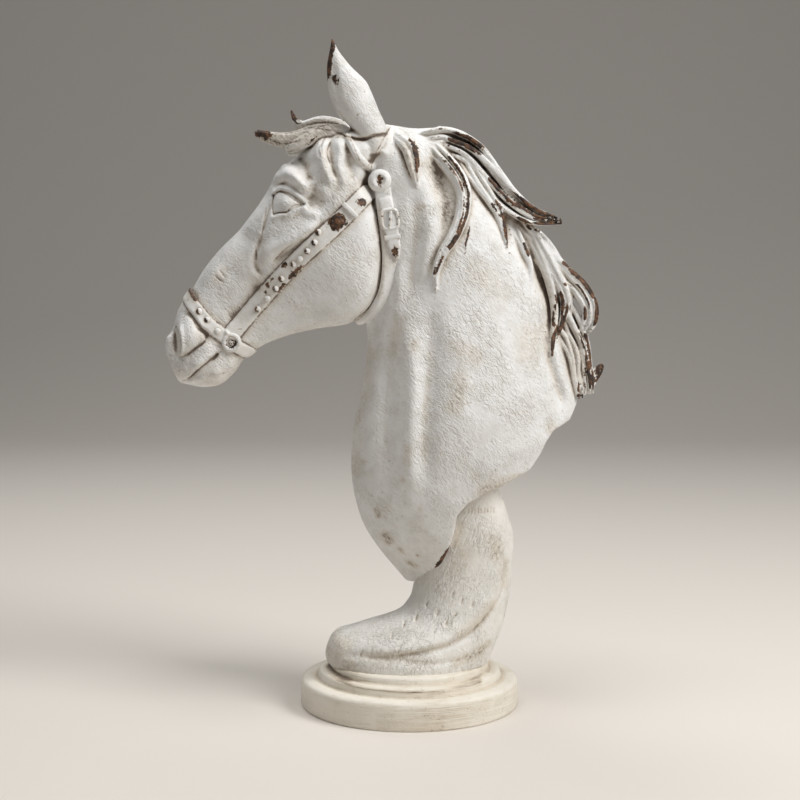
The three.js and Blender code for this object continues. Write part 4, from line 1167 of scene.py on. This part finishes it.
# Sizes of the paint's patterns in millimetres, with detail and roughness
PATTERNS = {"broad": (26, 4, 0.6), "cloud": (9, 4, 0.6), "patch": (6.5, 3, 0.55), "fleck": (1.9, 5, 0.62),
            "grit": (0.9, 3, 0.6), "pit": (2.1, 2, 0.5), "resin": (3.2, 3, 0.55)}


def painted_resin(name, strokes, stroke_turn, stroke_depth, wear_gain, stain_gain, mottling, cream=0.0):
    """Cast resin, brushed with chalky white paint, wiped with a brown glaze and rubbed through.

    To the eye it is a dry off-white with short tool strokes, warm brown in its hollows, where
    the brown is both glaze and painted shade, and brown resin with ragged edges wherever the
    paint has chipped off. Strokes is the size in millimetres of a tool stroke, along X, Y and Z
    before it is turned about Y. Cream is the share of yellowed paint.
    """
    finish = bpy.context.scene.horse_head_finish
    material = bpy.data.materials.new(name)
    material.use_nodes = True
    material.node_tree.nodes.clear()
    node = functools.partial(add_node, material.node_tree)
    where = node("ShaderNodeNewGeometry", output="Position")
    # The hollow and stain attributes carry painted shade as well as glaze and stains
    layer = {key: node("ShaderNodeAttribute", output="Fac", attribute_name=key)
             for key in ("hollow", "edge", "wear", "stain", "strap", "crease")}
    pattern = {key: node("ShaderNodeTexNoise", {"Vector": where, "Scale": 1 / (size * MM), "Detail": detail,
                                                "Roughness": roughness})
               for key, (size, detail, roughness) in PATTERNS.items()}
    breadth = min(strokes)
    along_strokes = node("ShaderNodeMapping", {
        "Vector": where, "Rotation": (0, math.radians(stroke_turn), 0),
        "Scale": [size / breadth for size in strokes]}, vector_type="TEXTURE")
    stroke = node("ShaderNodeTexNoise", {"Vector": along_strokes, "Scale": 1 / (breadth * 1.9 * MM),
                                         "Detail": 2.5, "Roughness": 0.6, "Distortion": 1.1})
    grain = node("ShaderNodeTexNoise", {"Vector": along_strokes, "Scale": 1 / (1.5 * MM), "Detail": 3,
                                        "Roughness": 0.6})
    coarse = node(MATH, {0: pattern["patch"], 1: 0.38}, operation="MULTIPLY")
    ragged = node(MATH, {0: pattern["fleck"], 1: 0.62, 2: coarse}, operation="MULTIPLY_ADD")
    broken = node(RANGE, {"Value": ragged, "From Min": 0.38, "From Max": 0.60})
    pits = node(RANGE, {"Value": pattern["pit"], "From Min": 0.34, "From Max": 0.25})

    # The brown glaze stays in hollows and pits, in clouds of fine specks, in scored lines and
    # beside straps; in the hollows the darkening is painted shade as well as glaze, strongest
    # where the surface is most enclosed
    thick = node(MATH, {0: pattern["cloud"], 1: 0.45})
    glaze_and_shade_in_hollows = node(RANGE, {"Value": layer["hollow"], "From Min": 0.12, "From Max": 0.85})
    glaze_and_shade_in_hollows = node(MATH, {0: glaze_and_shade_in_hollows, 1: thick}, operation="MULTIPLY")
    speckled = node(RANGE, {"Value": grain, "From Min": 0.34, "From Max": 0.72})
    clouds = node(RANGE, {"Value": pattern["broad"], "From Min": 0.50, "From Max": 0.74})
    clouds = node(MATH, {0: clouds, 1: speckled}, operation="MULTIPLY")
    # The painted shade of the hollows joins the glaze here
    glaze = node(MATH, {0: clouds, 1: 0.46 * mottling, 2: glaze_and_shade_in_hollows}, operation="MULTIPLY_ADD")
    scraped = node(RANGE, {"Value": stroke, "From Min": 0.44, "From Max": 0.30})
    glaze = node(MATH, {0: scraped, 1: 0.16 * mottling, 2: glaze}, operation="MULTIPLY_ADD")
    glaze = node(MATH, {0: pits, 1: 0.4, 2: glaze}, operation="MULTIPLY_ADD")
    glaze = node(MATH, {0: glaze, 1: stain_gain}, operation="MULTIPLY")
    beside_strap = node(MATH, {0: layer["strap"], 1: -0.35})
    beside_strap = node(MATH, {0: beside_strap}, operation="ABSOLUTE")
    beside_strap = node(RANGE, {"Value": beside_strap, "From Min": 0.8, "From Max": 0.2})
    scored = node(RANGE, {"Value": layer["crease"], "From Min": 0.85, "From Max": 0.15, "To Max": 0.8})
    lines = node(MATH, {0: beside_strap, 1: scored}, operation="MAXIMUM")
    lines = node(MATH, {0: lines, 1: broken}, operation="MULTIPLY")
    grime = node(RANGE, {"Value": layer["strap"], "From Min": 5.0, "From Max": 0.3, "To Max": 0.3})
    beside = node(RANGE, {"Value": layer["strap"], "From Min": -0.4, "From Max": 0.4, "To Min": 0.25})
    grime = node(MATH, {0: grime, 1: beside}, operation="MULTIPLY")
    lines = node(MATH, {0: grime, 1: thick, 2: lines}, operation="MULTIPLY_ADD")
    glaze = node(MATH, {0: glaze, 1: lines})
    speckled = node(MATH, {0: speckled, 1: 0.65, 2: 0.25}, operation="MULTIPLY_ADD")
    # Stains darken the paint in fine specks; a few stain rows are painted shade in hollows
    stained = node(MATH, {0: layer["stain"], 1: speckled}, operation="MULTIPLY")
    glaze = node(MATH, {0: glaze, 1: stained}, use_clamp=True)

    # Paint chips off exposed edges and the worn places, with ragged outlines
    loose = node(MATH, {0: layer["edge"], 1: 0.45, 2: 0.30}, operation="MULTIPLY_ADD")
    loose = node(MATH, {0: layer["wear"], 1: loose, 2: ragged}, operation="MULTIPLY_ADD")
    loose = node(MATH, {0: layer["edge"], 1: wear_gain, 2: loose}, operation="MULTIPLY_ADD")
    chip = node(RANGE, {"Value": loose, "From Min": 0.80, "From Max": 0.82})
    rim = node(RANGE, {"Value": loose, "From Min": 0.73, "From Max": 0.80})

    thin = node(RANGE, {"Value": pattern["cloud"], "From Min": 0.35, "From Max": 0.7})
    paint = node(BLEND, {0: thin, 6: (*finish.paint, 1), 7: (*finish.paint_shade, 1)}, 2, data_type="RGBA")
    if cream:
        paint = node(BLEND, {0: cream, 6: paint, 7: (*finish.cream, 1)}, 2, data_type="RGBA")
    # The glaze colour, deeper where glaze and painted shade are thickest, is laid over the paint
    deep = node(RANGE, {"Value": glaze, "From Min": 0.35, "From Max": 1.0})
    glaze_and_shade_colour = node(BLEND, {0: deep, 6: (*finish.glaze, 1), 7: (*finish.deep_glaze_and_shade, 1)}, 2, data_type="RGBA")
    glaze_and_shade_cover = node(MATH, {0: glaze, 1: 0.88}, operation="MULTIPLY")
    paint = node(BLEND, {0: glaze_and_shade_cover, 6: paint, 7: glaze_and_shade_colour}, 2, data_type="RGBA")
    rim = node(MATH, {0: rim, 1: 0.45}, operation="MULTIPLY")
    paint = node(BLEND, {0: rim, 6: paint, 7: (*finish.glaze, 1)}, 2, data_type="RGBA")
    bare = node(RANGE, {"Value": pattern["resin"], "From Min": 0.44, "From Max": 0.60})
    bare = node(BLEND, {0: bare, 6: (*finish.bare_dark, 1), 7: (*finish.bare_light, 1)}, 2, data_type="RGBA")
    colour = node(BLEND, {0: chip, 6: paint, 7: bare}, 2, data_type="RGBA")

    tooled = node(RANGE, {"Value": pattern["broad"], "From Min": 0.36, "From Max": 0.60})
    off_strap = node(RANGE, {"Value": layer["strap"], "From Min": -0.4, "From Max": 0.6})
    tooled = node(MATH, {0: tooled, 1: off_strap}, operation="MULTIPLY")
    height = node(RANGE, {"Value": stroke, "From Min": 0.28, "From Max": 0.60, "To Max": stroke_depth})
    height = node(MATH, {0: height, 1: tooled}, operation="MULTIPLY")
    for key, depth in (("grit", 0.12), ("cloud", 0.35)):
        height = node(MATH, {0: pattern[key], 1: depth, 2: height}, operation="MULTIPLY_ADD")
    for hole, depth in ((pits, -0.3), (chip, -0.35), (scored, -0.25)):
        height = node(MATH, {0: hole, 1: depth, 2: height}, operation="MULTIPLY_ADD")
    relief = node("ShaderNodeBump", {"Height": height, "Distance": MM, "Strength": 0.9})
    roughness = node(RANGE, {"Value": pattern["cloud"], "To Min": 0.46, "To Max": 0.68})
    shader = node("ShaderNodeBsdfPrincipled", {"Base Color": colour, "Roughness": roughness, "Normal": relief,
                                               "IOR": 1.5, "Metallic": 0.0})
    node("ShaderNodeOutputMaterial", {"Surface": shader})
    return material


def finish_piece(piece, clay, material, wear=(), stain=(), creases=(), straps=False):
    """Stores what the paint needs to know about the surface, and gives the piece its paint.

    Creases are scored into both sides, or with no straps into the photographed side alone.
    """
    points = vertices_of(piece)
    none = np.full(len(points), OUT_OF_REACH)
    scored = crease_distance(points, creases)
    if not straps:
        scored = np.where(points[:, 1] < 0, scored, none)
    store(piece,
          # How enclosed the surface is: the paint darkens it there as brown glaze and as painted shade
          hollow=np.clip(crowding(clay, points, 2.2) * 1.6 + crowding(clay, points, 5.5) * 0.7, -1, 1),
          edge=np.clip(-crowding(clay, points, 1.4) * 2.2, 0, 1),
          wear=patches(points, wear), stain=patches(points, stain),
          strap=strap_distance(points) if straps else none, crease=scored)
    piece.data.materials.append(material)
    carry(piece)


def carry(piece):
    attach(piece, "root")
    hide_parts(CASTING)


class HorseHeadSizes(bpy.types.PropertyGroup):
    strap_width: FloatProperty(name="Strap width", description="Width of the cheek strap",
                               default=0.0110, min=0.004, max=0.02, unit="LENGTH")
    noseband_width: FloatProperty(name="Noseband width", description="Width of the strap over the nose",
                                  default=0.0086, min=0.004, max=0.02, unit="LENGTH")
    throat_strap_width: FloatProperty(name="Throat strap width",
                                      description="Width of the strap under the jaw",
                                      default=0.0112, min=0.004, max=0.02, unit="LENGTH")
    strap_thickness: FloatProperty(name="Strap thickness", description="How far straps stand proud",
                                   default=0.0017, min=0.0005, max=0.004, unit="LENGTH")
    stud_diameter: FloatProperty(name="Stud diameter", description="Width of the small studs",
                                 default=0.0042, min=0.002, max=0.01, unit="LENGTH")
    rosette_diameter: FloatProperty(name="Rosette diameter", description="Width of the round boss",
                                    default=0.0148, min=0.008, max=0.025, unit="LENGTH")


class HorseHeadFinish(bpy.types.PropertyGroup):
    paint: FloatVectorProperty(name="Paint", description="Chalky white paint", subtype="COLOR",
                               default=linear("#ebeae8"))
    paint_shade: FloatVectorProperty(name="Thin paint", description="White paint where it is thinner",
                                     subtype="COLOR", default=linear("#dfddd8"))
    glaze: FloatVectorProperty(name="Glaze", description="Brown glaze, wiped thin", subtype="COLOR",
                               default=linear("#b9a27c"))
    # This colour is also the painted shade in the hollows
    deep_glaze_and_shade: FloatVectorProperty(name="Deep glaze", description="Brown glaze that stays in hollows",
                                    subtype="COLOR", default=linear("#5d4631"))
    cream: FloatVectorProperty(name="Cream", description="Yellowed paint of the stand and plinth",
                               subtype="COLOR", default=linear("#efe4cf"))
    bare_dark: FloatVectorProperty(name="Bare resin, dark", description="Resin under chipped paint",
                                   subtype="COLOR", default=linear("#2e1d12"))
    bare_light: FloatVectorProperty(name="Bare resin, light", description="Resin where light catches it",
                                    subtype="COLOR", default=linear("#6e4b2f"))


class HORSEHEAD_OT_neck(bpy.types.Operator):
    """Models the neck, its cut-off lower edge and the wind-blown mane"""
    bl_idname = "horse_head.neck"
    bl_label = "Neck and mane"

    def execute(self, context):
        clay = neck_clay()
        piece = new_object("neck_and_mane", *clay.mesh())
        thin_out(piece, MOST_TRIANGLES)
        material = painted_resin("Cast resin, chalk paint on a carved neck", (2.2, 1.1, 1.1), stroke_turn=50,
                                 stroke_depth=0.7, wear_gain=0.26, stain_gain=1.0, mottling=1.0)
        finish_piece(piece, clay, material, MANE_WEAR, NECK_STAIN_AND_SHADE)
        return {"FINISHED"}


class HORSEHEAD_OT_head(bpy.types.Operator):
    """Models the head with its ears, forelock and moulded straps"""
    bl_idname = "horse_head.head"
    bl_label = "Head"

    def execute(self, context):
        head_clay.cache_clear()
        clay = head_clay()
        piece = new_object("head", *clay.mesh())
        thin_out(piece, MOST_TRIANGLES)
        material = painted_resin("Cast resin, chalk paint on a carved head", (2.2, 1.0, 1.0), stroke_turn=40,
                                 stroke_depth=0.6, wear_gain=0.22, stain_gain=1.1, mottling=1.0)
        around_studs = [([place], 2.4, 0.9) for place in STUDS]
        finish_piece(piece, clay, material, FACE_WEAR, FACE_STAIN_AND_SHADE + around_studs, FACE_CREASES, straps=True)
        return {"FINISHED"}


class HORSEHEAD_OT_fittings(bpy.types.Operator):
    """Models the throat strap, buckles, bosses and studs of the bridle"""
    bl_idname = "horse_head.fittings"
    bl_label = "Bridle fittings"

    def execute(self, context):
        mesh, wear = place_fittings(head_clay())
        piece = new_object("bridle_fittings", *mesh)
        material = painted_resin("Cast resin, rubbed bridle fittings", (2.0, 1.0, 1.0), stroke_turn=20,
                                 stroke_depth=0.3, wear_gain=0.5, stain_gain=0.8, mottling=0.6)
        points = vertices_of(piece)
        # Darker where a fitting meets the head: brown glaze and painted shade at its foot
        glaze_and_shade_at_foot = np.clip(0.8 - head_clay().sample(points) / 1.2, 0, 0.9)
        far = np.full(len(points), OUT_OF_REACH)
        store(piece, hollow=glaze_and_shade_at_foot, edge=np.zeros(len(points)), wear=wear, stain=patches(points, FACE_STAIN_AND_SHADE),
              strap=far, crease=far)
        piece.data.materials.append(material)
        carry(piece)
        return {"FINISHED"}


class HORSEHEAD_OT_stand(bpy.types.Operator):
    """Models the curved stand that carries the neck"""
    bl_idname = "horse_head.stand"
    bl_label = "Stand"

    def execute(self, context):
        clay = stand_clay()
        piece = new_object("stand", *clay.mesh())
        thin_out(piece, MOST_TRIANGLES)
        material = painted_resin("Cast resin, rough trowelled stand", (2.8, 1.2, 1.2), stroke_turn=-62,
                                 stroke_depth=0.9, wear_gain=0.2, stain_gain=0.8, mottling=1.2, cream=0.25)
        finish_piece(piece, clay, material, (), STAND_STAIN, STAND_CREASES)
        return {"FINISHED"}


class HORSEHEAD_OT_plinth(bpy.types.Operator):
    """Models the round stepped plinth"""
    bl_idname = "horse_head.plinth"
    bl_label = "Plinth"

    def execute(self, context):
        radius, top = PLINTH_RADIUS, PLINTH_HEIGHT
        corners = [(0.001, 0), (radius - 0.5, 0), (radius, 1.5), (radius, 0.615 * top),
                   (radius - 7.5, top * 0.645), (0.88 * radius, top * 0.63), (0.85 * radius, top * 0.64),
                   (0.83 * radius, top * 0.80), (0.80 * radius, top * 0.83), (0.76 * radius, top * 0.83),
                   (TOP_STEP_RADIUS, top * 0.85), (TOP_STEP_RADIUS - 0.8, top), (0.001, top)]
        points, quads, triangles = turned(rounded_profile(corners, 4.5), 256)
        piece = new_object("plinth", points, quads, triangles)
        # The stand is joined in so that the plinth darkens round its foot: brown glaze and painted shade
        clay = Clay(spot(-84, -84, -8), spot(84, 84, 60), 1.2 * SCALE)
        clay.add((points, quads, triangles))
        clay.add(stand_mesh())
        material = painted_resin("Cast resin, brushed cream plinth", (30, 30, 1.8), stroke_turn=0,
                                 stroke_depth=0.35, wear_gain=0.2, stain_gain=0.6, mottling=2.1, cream=0.6)
        finish_piece(piece, clay, material, (), PLINTH_STAIN)
        return {"FINISHED"}


# The floor and its curved backdrop in millimetres
FLOOR_REACH = 4000
BACKDROP_BEND = 1500
# Soft lights: name, power in watts, width and place in metres
LIGHTS = [
    ("key", 20, 0.7, (1.1, -0.62, 1.2)), ("top", 10, 0.8, (-0.15, -0.2, 1.6)),
    ("rim", 5, 0.8, (-0.4, 0.8, 1.3)),
]
LIT_PLACE = (0, 0, 0.25)
# The camera at the photograph's viewing angle: focal length and sensor width in millimetres, place
# in metres and tilt down in degrees
CAMERA_LENS = (75, 36)
CAMERA_PLACE = (-0.0064, -1.1143, 0.3116)
CAMERA_TILT = 5.377


class HORSEHEAD_OT_stage(bpy.types.Operator):
    """Sets up the pale floor, the soft lights and the camera"""
    bl_idname = "horse_head.stage"
    bl_label = "Floor, lights and camera"

    def execute(self, context):
        scene = context.scene
        bend = np.linspace(0, math.pi / 2, 33)[1:]
        sweep = [(-FLOOR_REACH, 0), (BACKDROP_BEND, 0)]
        sweep += [(BACKDROP_BEND + BACKDROP_BEND * math.sin(a), BACKDROP_BEND - BACKDROP_BEND * math.cos(a))
                  for a in bend]
        sweep += [(2 * BACKDROP_BEND, FLOOR_REACH)]
        points = [(x, y, z) for y, z in sweep for x in (-FLOOR_REACH, FLOOR_REACH)]
        strips = [(2 * i, 2 * i + 1, 2 * i + 3, 2 * i + 2) for i in range(len(sweep) - 1)]
        floor = new_object("floor", points, strips)
        paper = bpy.data.materials.new("Matt backdrop paper")
        paper.use_nodes = True
        shader = paper.node_tree.nodes["Principled BSDF"]
        shader.inputs["Base Color"].default_value = (*linear("#dfd8cf"), 1)
        shader.inputs["Roughness"].default_value = 0.9
        floor.data.materials.append(paper)
        world = bpy.data.worlds.new("Soft studio")
        world.use_nodes = True
        world.node_tree.nodes["Background"].inputs[0].default_value = (*linear("#dfe2e6"), 1)
        world.node_tree.nodes["Background"].inputs[1].default_value = 0.18
        scene.world = world
        scene.view_settings.view_transform = "Standard"
        for name, power, size, place in LIGHTS:
            light = bpy.data.lights.new(name, "AREA")
            light.energy, light.size = power, size
            lamp = bpy.data.objects.new(name, light)
            lamp.location = place
            aim = Vector(LIT_PLACE) - lamp.location
            lamp.rotation_euler = aim.to_track_quat("-Z", "Y").to_euler()
            scene.collection.objects.link(lamp)
        lens = bpy.data.cameras.new("camera")
        lens.lens, lens.sensor_width = CAMERA_LENS
        camera = bpy.data.objects.new("camera", lens)
        camera.location = CAMERA_PLACE
        camera.rotation_euler = (math.radians(90 - CAMERA_TILT), 0, 0)
        scene.collection.objects.link(camera)
        scene.camera = camera
        return {"FINISHED"}


class HORSEHEAD_PT_panel(bpy.types.Panel):
    """Lists the sizes, the colours and the steps of the sculpture"""
    bl_label = "Horse head"
    bl_idname = "HORSEHEAD_PT_panel"
    bl_space_type = "VIEW_3D"
    bl_region_type = "UI"
    bl_category = "Horse head"

    def draw(self, context):
        for group in (context.scene.horse_head_sizes, context.scene.horse_head_finish):
            box = self.layout.box()
            for name in group.__annotations__:
                box.prop(group, name)
        for step in STEPS:
            self.layout.operator(step.bl_idname)


STEPS = (HORSEHEAD_OT_stage, HORSEHEAD_OT_plinth, HORSEHEAD_OT_stand, HORSEHEAD_OT_neck, HORSEHEAD_OT_head,
         HORSEHEAD_OT_fittings)
CLASSES = (HorseHeadSizes, HorseHeadFinish, *STEPS, HORSEHEAD_PT_panel)


def register():
    for kind in CLASSES:
        bpy.utils.register_class(kind)
    bpy.types.Scene.horse_head_sizes = PointerProperty(type=HorseHeadSizes)
    bpy.types.Scene.horse_head_finish = PointerProperty(type=HorseHeadFinish)


def unregister():
    del bpy.types.Scene.horse_head_finish
    del bpy.types.Scene.horse_head_sizes
    for kind in reversed(CLASSES):
        bpy.utils.unregister_class(kind)


def main():
    register()
    bpy.ops.horse_head.stage()
    bpy.ops.horse_head.plinth()
    bpy.ops.horse_head.stand()
    bpy.ops.horse_head.neck()
    bpy.ops.horse_head.head()
    bpy.ops.horse_head.fittings()


if __name__ == "__main__":
    main()
